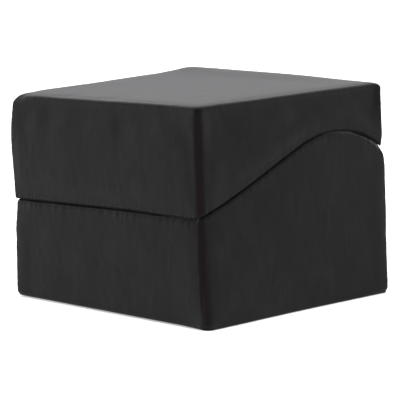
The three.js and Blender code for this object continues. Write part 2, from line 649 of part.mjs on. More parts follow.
function buildHinge() {
  const baseSide = new THREE.Group();
  const lidSide = new THREE.Group();
  for (const [group, parent] of [[baseSide, base], [lidSide, lid]]) {
    group.position.set(0, HINGE_Y, HINGE_Z);
    group.rotation.x = -HINGE_TILT;
    parent.add(group);
  }
  addPiece(baseSide, "hinge_leaf_base", leafShape(-1), STEEL);
  addPiece(lidSide, "hinge_leaf_lid", leafShape(1), STEEL);
  addPiece(baseSide, "hinge_pin", cylinderX(PIN_RADIUS, -HINGE_LENGTH / 2, HINGE_LENGTH / 2), STEEL);
  const screw = geometryOf(countersunkScrew(SCREW_LENGTH));
  hingeScrewPlaces().forEach((x, i) => {
    addPiece(baseSide, "hinge_screw_base_" + (i + 1), screw, STEEL)
      .position.set(x, -HINGE_SCREW_REACH, -0.15 - FIT);
    const upward = addPiece(lidSide, "hinge_screw_lid_" + (i + 1), screw, STEEL);
    upward.position.set(x, -HINGE_SCREW_REACH, 0.15 + FIT);
    upward.rotation.x = Math.PI;
  });
}

// ---- Stays ----

// The arm, hanging straight down from its pivot, with the slot that the stud slides in.
function armShape() {
  const closedReach = STAY_RADIUS * UNIT_CLOSED;
  const openReach = STAY_RADIUS * UNIT_OPEN;
  const slotHalf = STUD_RADIUS + SLOT_CLEARANCE;
  const slab = new THREE.Shape();
  slab.absarc(0, 0, ARM_WIDTH / 2, 0, Math.PI);
  slab.absarc(0, -openReach, ARM_WIDTH / 2, Math.PI, 2 * Math.PI);
  const slot = new THREE.Path();
  slot.absarc(0, -closedReach, slotHalf, 0, Math.PI);
  slot.absarc(0, -openReach, slotHalf, Math.PI, 2 * Math.PI);
  const eye = new THREE.Path();
  eye.absarc(0, 0, RIVET_RADIUS + SLOT_CLEARANCE, 0, 2 * Math.PI);
  slab.holes.push(slot, eye);
  const arm = new THREE.ExtrudeGeometry(slab, { depth: ARM_THICKNESS, bevelEnabled: false, curveSegments: 6 });
  return solid(arm.applyMatrix4(SIDE_VIEW));
}

// The plate on the well's side with its stud, about the stud's centre.
function studPlateShape() {
  const halfY = STUD_PLATE_WIDTH / 2;
  const halfZ = STUD_PLATE_HEIGHT / 2;
  const headOut = ARM_IN - FIT;
  return box(STUD_PLATE_IN, STUD_PLATE_OUT, -halfY, halfY, -halfZ, halfZ)
    .add(cylinderX(STUD_HEAD_RADIUS, ARM_OUT + FIT, STUD_PLATE_IN + 0.5))
    .add(cylinderX(STUD_RADIUS, headOut - 0.5, STUD_PLATE_IN + 0.5))
    .add(cylinderX(STUD_HEAD_RADIUS, headOut - STUD_HEAD, headOut))
    .translate([0, STUD.x, STUD.y])
    .subtract(screwHoles(studPlateScrews(), SCREW_LENGTH));
}

// The lid's bracket: a flange that follows the lid's underside, and an ear down to the rivet.
function stayBracketShape() {
  const half = BRACKET_WIDTH / 2;
  const strip = box(EAR_OUT - FLANGE_REACH, EAR_OUT, LID_PIVOT.x - half, LID_PIVOT.x + half, 0, HEIGHT)
    .intersect(overSplit(FLANGE_BOTTOM)).subtract(overSplit(FLANGE_TOP));
  const ear = new THREE.Shape();
  ear.moveTo(half, HEIGHT - LID_PIVOT.y);
  ear.lineTo(-half, HEIGHT - LID_PIVOT.y);
  ear.lineTo(-half, ARM_WIDTH / 2);
  ear.lineTo(-ARM_WIDTH / 2, 0);
  ear.absarc(0, 0, ARM_WIDTH / 2, Math.PI, 2 * Math.PI);
  ear.lineTo(half, ARM_WIDTH / 2);
  return sidePrism(ear.getPoints(6), EAR_IN, EAR_OUT)
    .subtract(cylinderX(RIVET_RADIUS + FIT, EAR_IN - 1, EAR_OUT + 1))
    .translate([0, LID_PIVOT.x, LID_PIVOT.y])
    .subtract(overSplit(FLANGE_TOP))
    .add(strip)
    .subtract(screwHoles(stayBracketScrews(), LONG_SCREW_LENGTH));
}

function rivetShape() {
  const headIn = ARM_IN - FIT;
  const headOut = EAR_OUT + FIT;
  return cylinderX(RIVET_RADIUS, headIn - 0.5, headOut + 0.5)
    .add(cylinderX(RIVET_HEAD_RADIUS, headIn - RIVET_HEAD, headIn))
    .add(cylinderX(RIVET_HEAD_RADIUS, headOut, headOut + RIVET_HEAD))
    .translate([0, LID_PIVOT.x, LID_PIVOT.y]);
}

function buildStays() {
  const armTurn = THREE.MathUtils.radToDeg(Math.atan2(ARM_DIRECTION.x, -ARM_DIRECTION.y));
  const arm = armShape().rotate([armTurn, 0, 0]).translate([ARM_IN, LID_PIVOT.x, LID_PIVOT.y]);
  for (const [hand, side] of [["right", 1], ["left", -1]]) {
    const handed = (shape) => (side > 0 ? shape : shape.mirror([1, 0, 0]));
    addPiece(lid, "stay_arm_" + hand, handed(arm), STEEL);
    addPiece(lid, "stay_bracket_" + hand, handed(stayBracketShape()), STEEL);
    addPiece(lid, "stay_rivet_" + hand, handed(rivetShape()), STEEL);
    addPiece(base, "stay_stud_plate_" + hand, handed(studPlateShape()), STEEL);
    const fixings = [
      [base, "stud_plate_screw_", SCREW_LENGTH, studPlateScrews()],
      [lid, "stay_bracket_screw_", LONG_SCREW_LENGTH, stayBracketScrews()],
    ];
    for (const [group, name, length, screws] of fixings) {
      screws.forEach((s, i) => {
        const screw = countersunkScrew(length).rotate(s.turn).translate(s.place);
        addPiece(group, name + hand + "_" + (i + 1), handed(screw), STEEL);
      });
    }
  }
}

buildBase();
buildLid();
buildHinge();
buildStays();

export default ottoman;
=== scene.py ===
# A storage ottoman in black velvet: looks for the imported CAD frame. Metres, +Z up, front at -Y.
import json
import math

import bpy
import bmesh
import numpy as np
from mathutils import Matrix, Vector


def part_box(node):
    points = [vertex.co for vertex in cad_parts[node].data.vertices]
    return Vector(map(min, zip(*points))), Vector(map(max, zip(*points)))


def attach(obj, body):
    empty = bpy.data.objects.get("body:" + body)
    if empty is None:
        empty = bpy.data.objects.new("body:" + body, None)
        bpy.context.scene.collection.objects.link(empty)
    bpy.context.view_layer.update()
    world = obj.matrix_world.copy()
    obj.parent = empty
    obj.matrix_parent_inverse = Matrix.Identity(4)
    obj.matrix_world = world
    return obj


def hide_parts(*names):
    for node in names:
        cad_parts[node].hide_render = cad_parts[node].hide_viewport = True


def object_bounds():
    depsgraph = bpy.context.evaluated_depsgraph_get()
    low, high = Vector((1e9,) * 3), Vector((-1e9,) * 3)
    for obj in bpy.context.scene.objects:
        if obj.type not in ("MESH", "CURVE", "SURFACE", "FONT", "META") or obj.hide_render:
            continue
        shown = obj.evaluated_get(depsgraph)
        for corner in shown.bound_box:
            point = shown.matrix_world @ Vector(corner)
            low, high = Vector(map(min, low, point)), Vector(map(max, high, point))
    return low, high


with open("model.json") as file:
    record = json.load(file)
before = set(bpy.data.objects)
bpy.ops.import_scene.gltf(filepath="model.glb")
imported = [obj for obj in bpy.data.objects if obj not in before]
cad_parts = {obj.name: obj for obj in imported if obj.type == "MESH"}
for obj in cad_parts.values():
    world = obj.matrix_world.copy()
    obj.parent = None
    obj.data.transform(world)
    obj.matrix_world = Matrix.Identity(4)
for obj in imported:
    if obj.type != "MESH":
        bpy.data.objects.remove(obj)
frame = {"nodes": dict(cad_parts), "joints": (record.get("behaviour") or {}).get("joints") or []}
CAD_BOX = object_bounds()
NODES = frame["nodes"]

# ---- Camera: the photograph's viewing angle ----
AZIMUTH = math.radians(48.568)
ELEVATION = math.radians(8.428)
ROLL = math.radians(-1.934)
DISTANCE = 5.5675
AIM = Vector((0, 0, 0.2225))
LENS = 237.4
AIM_RIGHT = 0.00078  # small turns of the view off its aim
AIM_UP = -0.00349

# ---- The object's sizes, as its frame has them ----
HALF_X = CAD_BOX[1].x
REAR_Y = CAD_BOX[1].y
TOP = CAD_BOX[1].z
LID_SET_BACK = REAR_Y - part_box("lid_cover")[1].y
HINGE = Vector(frame["joints"][0]["pos_m"])
BASE_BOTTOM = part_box("base_cover")[0].z
FRAME_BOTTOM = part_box("base_left_board")[0].z
TOP_BOARD_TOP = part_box("lid_top_board")[1].z
HINGE_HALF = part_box("hinge_leaf_base")[1].x
HINGE_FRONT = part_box("hinge_leaf_base")[0].y
LINING_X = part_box("storage_lining")[1].x
LINING_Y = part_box("storage_lining")[1].y
LINING_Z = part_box("storage_lining")[0].z
LID_LINING_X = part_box("lid_lining")[1].x
LID_LINING_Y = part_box("lid_lining")[1].y

FRONT_HEIGHT = 0.224
FRONT_TILT = 0.015  # how much lower the split's front end is on the left side than on the right
TILT_END = 0.060
SLOPE_ROLL = 0.0092
CREST_DROP = 0.0026
REAR_DROP = 0.0040
REAR_DIP = 0.0024
ROLL_IN = 0.0125  # how far in from the sides the covers' edge is rolled
ROLL_FULL = 0.004
FRONT_DROOP = 0.0048  # the cover hangs lower at the right of the front
CREST = (0.106, 0.358)
REAR_START = (0.240, 0.324)
REAR_SLOPE = 0.46
FRONT_SLOPE = 0.3
FRONT_REACH = 0.234
CREST_FRONT_REACH = 0.050
CREST_REAR_REACH = 0.074
REAR_REACH = 0.025
SHOULDER_START = 0.244
SHOULDER_END = 0.2645
SHOULDER_DROP = 0.040
HALF_GAP = 0.0006
FIT = 0.0003
COVER = 0.002
PAD_IN = 0.0124  # outer face to the boards
RIM_PAD = 0.009
LIP_OUT = 0.0279
LIP_IN = 0.0299
COVER_LIP = 0.030
COVER_HEM = 0.030
LID_HEM = 0.042


def link(obj):
    bpy.context.collection.objects.link(obj)
    return obj


def make_camera():
    back = Vector((
        math.sin(AZIMUTH) * math.cos(ELEVATION),
        -math.cos(AZIMUTH) * math.cos(ELEVATION),
        math.sin(ELEVATION),
    ))
    right = (-back).cross(Vector((0, 0, 1))).normalized()
    up = right.cross(-back)
    turned = right * math.cos(ROLL) + up * math.sin(ROLL)
    up = up * math.cos(ROLL) - right * math.sin(ROLL)
    ahead = (-back + turned * AIM_RIGHT + up * AIM_UP).normalized()
    right = (turned - ahead * turned.dot(ahead)).normalized()
    up = right.cross(ahead)
    data = bpy.data.cameras.new("camera")
    data.lens = LENS
    data.sensor_width = 36
    data.clip_start, data.clip_end = 0.1, 60
    cam = link(bpy.data.objects.new("camera", data))
    turn = Matrix((right, up, -ahead)).transposed().to_4x4()
    cam.matrix_world = Matrix.Translation(AIM + back * DISTANCE) @ turn
    bpy.context.scene.camera = cam


make_camera()


# ---- The split line, seen from the side, as height against depth ----
def bezier(a, b, c, d, steps=64):
    t = np.linspace(0, 1, steps)[:, None]
    a, b, c, d = (np.array(p, float) for p in (a, b, c, d))
    return a * (1 - t) ** 3 + b * 3 * t * (1 - t) ** 2 + c * 3 * t * t * (1 - t) + d * t ** 3


BEYOND = 0.06
rising = bezier(
    (-REAR_Y, FRONT_HEIGHT),
    (-REAR_Y + FRONT_REACH, FRONT_HEIGHT + FRONT_SLOPE * FRONT_REACH),
    (CREST[0] - CREST_FRONT_REACH, CREST[1]),
    CREST,
)
falling = bezier(
    CREST,
    (CREST[0] + CREST_REAR_REACH, CREST[1]),
    (REAR_START[0] - REAR_REACH, REAR_START[1] + REAR_SLOPE * REAR_REACH),
    REAR_START,
)
LINE = np.vstack((
    [[-REAR_Y - BEYOND, FRONT_HEIGHT - FRONT_SLOPE * BEYOND]],
    rising,
    falling[1:],
    [[REAR_START[0] + BEYOND, REAR_START[1] - REAR_SLOPE * BEYOND]],
))
RUN = np.concatenate(([0], np.cumsum(np.hypot(*np.diff(LINE, axis=0).T))))


def smooth(x, low, high):
    t = np.clip((np.asarray(x, float) - low) / (high - low), 0, 1)
    return t * t * (3 - 2 * t)


def profile(y):
    return np.interp(y, LINE[:, 0], LINE[:, 1])


def roll(y):
    """The covers' outer edge: fuller than the boards on the slope, and lower from the crest back."""
    fuller = SLOPE_ROLL * smooth(y, -0.24, -0.03) * (1 - smooth(y, 0.02, 0.095))
    lower = CREST_DROP * smooth(y, 0.07, 0.105) + REAR_DROP * smooth(y, 0.19, 0.24)
    return fuller - lower - REAR_DIP * smooth(y, 0.228, 0.246)


def rolled(x):
    """1 at the covers' side edges, 0 further in."""
    return smooth(np.abs(x), HALF_X - ROLL_IN, HALF_X - ROLL_FULL)


def split(x, y):
    """The split's height: lower towards the left at the front."""
    ahead = np.clip((TILT_END - y) / (TILT_END + REAR_Y), 0, 1)
    at_front = 1 - smooth(y, -REAR_Y + 0.003, -REAR_Y + 0.012)
    droop = smooth(x, 0.05, 0.27) * (1 - smooth(x, 0.283, 0.294)) * at_front
    tilt = FRONT_TILT * ahead * (0.5 - x / (2 * HALF_X))
    return profile(y) - tilt - FRONT_DROOP * droop + rolled(x) * roll(y)


def steep(y):
    """How much longer a vertical gap is than the same gap square to the line."""
    return np.hypot(1, (profile(y + 1e-4) - profile(y - 1e-4)) / 2e-4)


def shoulder(y):
    """The base's rim height, where it rounds down to the rear face."""
    start = profile(SHOULDER_START)
    corner = start - REAR_SLOPE * (SHOULDER_END - SHOULDER_START)
    t = 1 - np.sqrt(np.clip(1 - (y - SHOULDER_START) / (SHOULDER_END - SHOULDER_START), 0, 1))
    return start * (1 - t) ** 2 + corner * 2 * t * (1 - t) + (start - SHOULDER_DROP) * t * t


NOTCH_UP = 0.0008  # how far the lid's cover rounds up at the rear corners
NOTCH_DOWN = 0.0062  # and the base's cover down


def rear_corner(x, y):
    """1 at the rear corners of the split, where lid and base round away from each other."""
    return smooth(y, 0.240, 0.260) * smooth(np.abs(x), 0.266, 0.290)


def hinge_bay(x):
    return 1 - smooth(np.abs(x), HINGE_HALF + 0.0012, HINGE_HALF + 0.0045)


def barrel(y, side):
    reach = 0.0053
    across = np.clip(1 - ((y - HINGE.y) / reach) ** 2, 0, None)
    return np.where(across > 0, HINGE.z + side * reach * np.sqrt(across), -side * 9.0)


def leaf(x, y, side):
    inside = smooth(y, HINGE_FRONT - 0.004, HINGE_FRONT - 0.001)
    return split(x, y) + side * (HALF_GAP + inside * 0.0022) * steep(y)


def underside(x, y):
    """The lid's lower face."""
    plain = split(x, y) + HALF_GAP * steep(y) + NOTCH_UP * rear_corner(x, y)
    bay = np.maximum(plain, np.maximum(leaf(x, y, 1), barrel(y, 1)))
    return plain + hinge_bay(x) * (bay - plain)


def rim(x, y):
    """The base's upper face."""
    line = np.where(y < SHOULDER_START, split(x, y), shoulder(y) + rolled(x) * roll(y))
    plain = line - HALF_GAP * steep(np.minimum(y, SHOULDER_START)) - NOTCH_DOWN * rear_corner(x, y)
    bay = np.minimum(plain, np.minimum(leaf(x, y, -1), barrel(y, -1)))
    return plain + hinge_bay(x) * (bay - plain)


# ---- Structured meshes: rings of columns round a rounded rectangle ----
PLAN_RADIUS = 0.010
NEAR_RADIUS = 0.016  # the front right corner is softer
ARC_STEPS = 4  # columns in half a corner
END_STEPS = 6
END_STEP = 0.004
MID_STEP = 0.0086


def fractions(half):
    run = half - PLAN_RADIUS
    ends = np.arange(END_STEPS + 1) * END_STEP / run
    count = round((2 - 2 * ends[-1]) * run / MID_STEP)
    middle = np.linspace(-1 + ends[-1], 1 - ends[-1], count + 1)[1:-1]
    return np.concatenate((-1 + ends, middle, 1 - ends[::-1]))


def columns():
    """Each column's place as a share of the straight sides, and its outward angle."""
    places, angles = [], []
    for side in range(4):
        facing = math.radians(-90 + 90 * side)
        normal = np.array((math.cos(facing), math.sin(facing)))
        along = np.array((-normal[1], normal[0]))
        share = fractions(HALF_X if side % 2 == 0 else REAR_Y)
        arc = np.linspace(-math.pi / 4, 0, ARC_STEPS + 1)[:-1]
        share = np.concatenate((-np.ones(ARC_STEPS), share, np.ones(ARC_STEPS - 1)))
        turn = np.concatenate((arc, np.zeros(len(share) - 2 * ARC_STEPS + 1), -arc[::-1][:-1]))
        places.append(normal + along * share[:, None])
        angles.append(facing + turn)
    return np.vstack(places), np.concatenate(angles), len(places[0]), len(places[1])


PLACE, ANGLE, FRONT_COUNT, SIDE_COUNT = columns()
COUNT = len(ANGLE)
FACING = np.stack((np.cos(ANGLE), np.sin(ANGLE)), 1)
AT_NEAR_CORNER = (PLACE[:, 0] > 0) & (PLACE[:, 1] < 0)
CORNER = np.where(AT_NEAR_CORNER, NEAR_RADIUS, PLAN_RADIUS)


def ring(inset, radius, back=REAR_Y):
    """A ring in plan, inset from the outer face. inset and radius may differ by column."""
    inset = np.broadcast_to(inset, COUNT)[:, None]
    radius = np.maximum(np.broadcast_to(radius, COUNT), 0.001)[:, None]
    half = np.array((HALF_X, (REAR_Y + back) / 2))
    middle = np.array((0, (back - REAR_Y) / 2))
    return middle + PLACE * (half - inset - radius) + FACING * radius


def eased(t):
    """Spacing up a wall: a little closer at both ends."""
    return 0.6 * t + 0.4 * (1 - math.cos(math.pi * t)) / 2


class Lattice:
    """Rings of columns, joined into one mesh."""

    def __init__(self):
        self.rings, self.free, self.skin = [], [], []

    def add(self, plan, height, free=0.0, skin=1.0):
        height = np.broadcast_to(height, COUNT)
        self.rings.append(np.column_stack((plan, height)))
        self.free.append(np.broadcast_to(free, COUNT))
        self.skin.append(np.broadcast_to(skin, COUNT))

    def top_grid(self, edge, lift):
        """The inside of the last ring as a grid of points."""
        nx, ny = FRONT_COUNT, SIDE_COUNT
        front = edge[: nx + 1]
        right = edge[nx : nx + ny + 1]
        rear = edge[nx + ny : 2 * nx + ny + 1][::-1]
        left = np.vstack((edge[2 * nx + ny :], edge[:1]))[::-1]
        u = np.abs(front[:, 0] - front[0, 0]) / np.abs(front[-1, 0] - front[0, 0])
        v = np.abs(right[:, 1] - right[0, 1]) / np.abs(right[-1, 1] - right[0, 1])
        u, v = u[:, None, None], v[None, :, None]
        grid = (1 - v) * front[:, None] + v * rear[:, None] + (1 - u) * left[None] + u * right[None]
        grid -= (1 - u) * (1 - v) * front[0] + u * (1 - v) * front[-1]
        grid -= (1 - u) * v * rear[0] + u * v * rear[-1]
        grid[..., 2] += lift * (np.sin(math.pi * u) * np.sin(math.pi * v))[..., 0] ** 0.7
        return grid

    def build(self, name, closed_ring=False, lift=0.0):
        points = list(np.vstack(self.rings))
        free = list(np.concatenate(self.free))
        skin = list(np.concatenate(self.skin))
        faces = []
        rows = len(self.rings)
        for k in range(rows if closed_ring else rows - 1):
            here, there = k * COUNT, (k + 1) % rows * COUNT
            for j in range(COUNT):
                n = (j + 1) % COUNT
                faces.append((here + j, here + n, there + n, there + j))
        if not closed_ring:
            faces.append(tuple(range(COUNT))[::-1])
            grid = self.top_grid(self.rings[-1], lift)
            nx, ny = FRONT_COUNT, SIDE_COUNT
            index = np.zeros((nx + 1, ny + 1), int)
            last = (rows - 1) * COUNT
            index[:, 0] = last + np.arange(nx + 1)
            index[nx, :] = last + nx + np.arange(ny + 1)
            index[:, ny] = last + nx + ny + np.arange(nx + 1)[::-1]
            index[0, :] = last + (2 * nx + ny + np.arange(ny + 1)[::-1]) % COUNT
            for i in range(1, nx):
                for j in range(1, ny):
                    index[i, j] = len(points)
                    points.append(grid[i, j])
                    free.append(1.0)
                    skin.append(1.0)
            for i in range(nx):
                for j in range(ny):
                    faces.append((index[i, j], index[i + 1, j], index[i + 1, j + 1], index[i, j + 1]))
        mesh = bpy.data.meshes.new(name)
        mesh.from_pydata([tuple(p) for p in points], [], [tuple(int(i) for i in f) for f in faces])
        work = bmesh.new()
        work.from_mesh(mesh)
        bmesh.ops.recalc_face_normals(work, faces=work.faces)
        work.to_mesh(mesh)
        work.free()
        obj = link(bpy.data.objects.new(name, mesh))
        for label, values in (("free", free), ("skin", skin)):
            group = obj.vertex_groups.new(name=label)
            for i, value in enumerate(values):
                if value > 0:
                    group.add([i], float(value), "REPLACE")
        return obj


def points_of(mesh):
    co = np.zeros(len(mesh.vertices) * 3)
    mesh.vertices.foreach_get("co", co)
    return co.reshape(-1, 3)


def normals_of(mesh):
    normal = np.zeros(len(mesh.vertices) * 3)
    mesh.vertex_normals.foreach_get("vector", normal)
    return normal.reshape(-1, 3)


def weights_of(obj, label):
    index = obj.vertex_groups[label].index
    out = np.zeros(len(obj.data.vertices))
    for v in obj.data.vertices:
        for g in v.groups:
            if g.group == index:
                out[v.index] = g.weight
    return out


def set_points(mesh, co):
    mesh.vertices.foreach_set("co", np.ascontiguousarray(co).ravel())
    mesh.update()


SIM_FRAMES = 20
SMOOTHING = 10  # rounds of evening out
SWELL_PRESSURE = 4.0


def relax(mesh, moved, rounds):
    """Evens a movement out between neighbours, so that the cloth keeps no creases."""
    ends = np.zeros(len(mesh.edges) * 2, int)
    mesh.edges.foreach_get("vertices", ends)
    a, b = ends.reshape(-1, 2).T
    ties = np.bincount(ends, minlength=len(moved)) + 1
    for _ in range(rounds):
        total = moved.copy()
        for axis in range(3):
            near_a = np.bincount(a, moved[b, axis], len(moved))
            near_b = np.bincount(b, moved[a, axis], len(moved))
            total[:, axis] += near_a + near_b
        moved = total / ties[:, None]
    return moved


def inflate(obj, cap, pressure):
    """Blows the piece up as cloth held where 'free' is 0. No point moves further than its cap."""
    held = obj.vertex_groups.new(name="held")
    for i, value in enumerate(weights_of(obj, "free")):
        held.add([i], 1 - float(value), "REPLACE")
    rest = points_of(obj.data)
    cloth = obj.modifiers.new("cloth", "CLOTH")
    s = cloth.settings
    s.quality = 5
    s.mass = 0.3
    s.tension_stiffness = s.compression_stiffness = s.shear_stiffness = 40
    s.bending_stiffness = 2
    s.use_pressure = True
    s.uniform_pressure_force = pressure
    s.vertex_group_mass = "held"
    s.effector_weights.gravity = 0
    cloth.collision_settings.use_collision = False
    scene = bpy.context.scene
    scene.frame_start, scene.frame_end = 1, SIM_FRAMES
    for f in range(1, SIM_FRAMES + 1):
        scene.frame_set(f)
    graph = bpy.context.evaluated_depsgraph_get()
    blown = obj.evaluated_get(graph).to_mesh()
    moved = points_of(blown) - rest
    obj.modifiers.remove(cloth)
    scene.frame_set(1)
    moved = relax(obj.data, moved, SMOOTHING)
    far = np.linalg.norm(moved, axis=1)
    limit = cap(rest)
    keep = np.where(far > 1e-9, limit * np.tanh(far / np.maximum(limit, 1e-6)) / np.maximum(far, 1e-9), 0)
    set_points(obj.data, rest + moved * keep[:, None])
    obj.vertex_groups.remove(obj.vertex_groups["held"])


def subdivide(obj):
    level = obj.modifiers.new("fine", "SUBSURF")
    level.levels = level.render_levels = 1
    level.boundary_smooth = "PRESERVE_CORNERS"
    level.use_limit_surface = False
    graph = bpy.context.evaluated_depsgraph_get()
    fine = bpy.data.meshes.new_from_object(obj.evaluated_get(graph), depsgraph=graph)
    old = obj.data
    obj.modifiers.remove(level)
    obj.data = fine
    bpy.data.meshes.remove(old)
    fine.name = obj.name
    fine.polygons.foreach_set("use_smooth", np.ones(len(fine.polygons), bool))


def waves(p, scale, seed, terms=24):
    """Smooth noise between -1 and 1, as a sum of waves with fixed directions."""
    rng = np.random.default_rng(seed)
    total = np.zeros(len(p))
    for _ in range(terms):
        k = rng.normal(size=3)
        k *= rng.uniform(0.6, 1.5) * 2 * math.pi / scale / np.linalg.norm(k)
        total += np.sin(p @ k + rng.uniform(0, 2 * math.pi))
    return total / math.sqrt(terms)


def ripples(along, pitch, seed):
    """The same noise along one measure only."""
    return waves(np.column_stack((along, along * 0, along * 0)), pitch, seed)


def corner_distance(p, back):
    """Plan distance from the nearest corner's seam line."""
    near = (p[:, 0] > 0) & (p[:, 1] < 0)
    pull = np.where(near, NEAR_RADIUS, PLAN_RADIUS) * (1 - math.sqrt(0.5))
    x = np.abs(np.abs(p[:, 0]) - HALF_X + pull)
    y = np.minimum(np.abs(p[:, 1] + REAR_Y - pull), np.abs(p[:, 1] - back + pull))
    return np.hypot(x, y)


def face_run(p):
    """Distance along the wall: depth's run along the split on the sides, x on the front and rear."""
    on_side = np.abs(p[:, 0]) / HALF_X > np.abs(p[:, 1]) / REAR_Y
    return np.where(on_side, np.interp(p[:, 1], LINE[:, 0], RUN), p[:, 0])


# ---- Lid upholstery: cover and foam as one padded shell round the lid's boards ----
LID_BACK = REAR_Y - LID_SET_BACK
LID_LIP = 0.0075
TOP_EDGE = 0.008
TOP_CORNER = 0.010
TOP_PLAN_RADIUS = 0.022
CORNER_SPREAD = 0.045
LEFT_ROUND = 0.014
REAR_LIP_IN = 0.0045
REAR_RISE = 0.0036
TOP_SINK = 0.0085  # how much lower the top is at the front left corner


def build_lid():
    lattice = Lattice()
    edge = ring(0, CORNER, LID_BACK)
    near = np.exp(-(corner_distance(np.column_stack((edge, edge[:, 0])), LID_BACK) / CORNER_SPREAD) ** 2)
    left_front = smooth(-edge[:, 0] / HALF_X - edge[:, 1] / REAR_Y, 0.8, 1.8)
    top_edge = TOP_EDGE + (TOP_CORNER - TOP_EDGE) * near + LEFT_ROUND * near * left_front

    def below(inset, up, skin=1.0):
        plan = ring(inset, CORNER - inset, LID_BACK)
        lattice.add(plan, underside(plan[:, 0], plan[:, 1]) + up, 0.0, skin)

    cap = ring(PAD_IN, CORNER - PAD_IN, LID_BACK)
    lattice.add(cap, TOP_BOARD_TOP + FIT, 0.0, 0.0)
    below(PAD_IN, COVER + FIT, 0.0)
    below(LID_HEM + 0.0004, COVER - 0.0002, 0.0)
    for inset in (LID_HEM, 0.036, 0.029, 0.022, 0.016, 0.0115, LID_LIP):
        below(inset, 0)
    for angle in (22, 45, 67):
        a = math.radians(angle)
        below(LID_LIP * (1 - math.sin(a)), LID_LIP * (1 - math.cos(a)))
    low = underside(edge[:, 0], edge[:, 1]) + LID_LIP
    high = TOP - top_edge
    for t in np.linspace(0, 1, 25):
        lattice.add(edge, low + (high - low) * eased(t), smooth(t, 0.02, 0.2))
    for angle in (15, 30, 45, 60, 75, 90):
        a = math.radians(angle)
        radius = CORNER + (TOP_PLAN_RADIUS - CORNER) * (1 - math.cos(a))
        inset = top_edge * (1 - math.cos(a))
        height = TOP - top_edge * (1 - math.sin(a))
        lattice.add(ring(inset, radius, LID_BACK), height, 0.75 + 0.25 * abs(math.cos(2 * a)))
    return lattice.build("lid_upholstery", lift=0.001)


LID_SWELL = 0.0055
TOP_TIGHT = 0.65


def sink(p):
    """How far the top has settled, growing towards the front left."""
    left = smooth(-p[:, 0] / HALF_X, -1.0, 1.0)
    rearward = np.clip((p[:, 1] / REAR_Y + 1) / 2, 0, 1)
    rise = REAR_RISE * smooth(p[:, 1], 0.14, 0.25) * (1 - smooth(p[:, 0], 0.0, 0.26))
    return (TOP_SINK * left * (1 - rearward ** 1.5) - rise) * smooth(p[:, 2], TOP - 0.10, TOP)


def lid_cap(p):
    """Less swell towards the split, and nearly none beside the hinge."""
    above = p[:, 2] - underside(p[:, 0], p[:, 1])
    rear = smooth(p[:, 1], 0.235, 0.25)
    cap = LID_SWELL * (0.25 + 0.75 * smooth(above, 0, 0.05))
    cap *= 1 - TOP_TIGHT * smooth(p[:, 2], TOP - 0.012, TOP - 0.002)
    return cap * (1 - rear * (1 - 0.12 * smooth(p[:, 2], 0.34, 0.40)))


def upright(n):
    """1 on the walls, 0 on faces that look up or down."""
    return 1 - smooth(np.abs(n[:, 2]), 0.6, 0.9)


SPREAD_REACH = 0.035
LID_SPREAD = 0.0042
SPREAD_HEIGHT = 0.345  # where the lid's corners stand out most


def spread(p, back, amount):
    """The corners stand out a little more than the faces between them."""
    near = np.exp(-(corner_distance(p, back) / SPREAD_REACH) ** 2) * amount
    return np.stack((np.sign(p[:, 0]) * near, np.sign(p[:, 1]) * near, near * 0), 1)


def lid_spread(p):
    middle = np.exp(-((p[:, 2] - SPREAD_HEIGHT) / 0.075) ** 2)
    return LID_SPREAD * middle * (1 - smooth(p[:, 1], -0.05, 0.15))


def base_spread(p):
    front = 0.0005 + 0.0025 * (1 - smooth(p[:, 2], 0.0, 0.24))
    rear = 0.0026 * (1 - smooth(p[:, 2], 0.26, 0.31))
    tuck = 0.0034 * (1 - smooth(rim(p[:, 0], p[:, 1]) - p[:, 2], 0.0, 0.07)) * (1 - smooth(p[:, 1], -0.2, 0))
    return (front - tuck + (rear - front) * smooth(p[:, 1], -0.1, 0.15)) * smooth(p[:, 2], 0.004, 0.012)


# How the seams and the velvet between them stand in or out.
SEAM_DEPTH = 0.0016
SEAM_WIDTH = 0.0018
SEAM_SHADE_REACH = 0.0075  # how far from the corner seam the colour is darkened, as painted shade
PUCKER_RISE = 0.0003  # beside the upright seams
PUCKER_PITCH = 0.013
PUCKER_REACH = 0.006
LIP_RIPPLE = 0.00045  # along the split
FINE_RISE = 0.00006
FINE_PITCH = 0.035


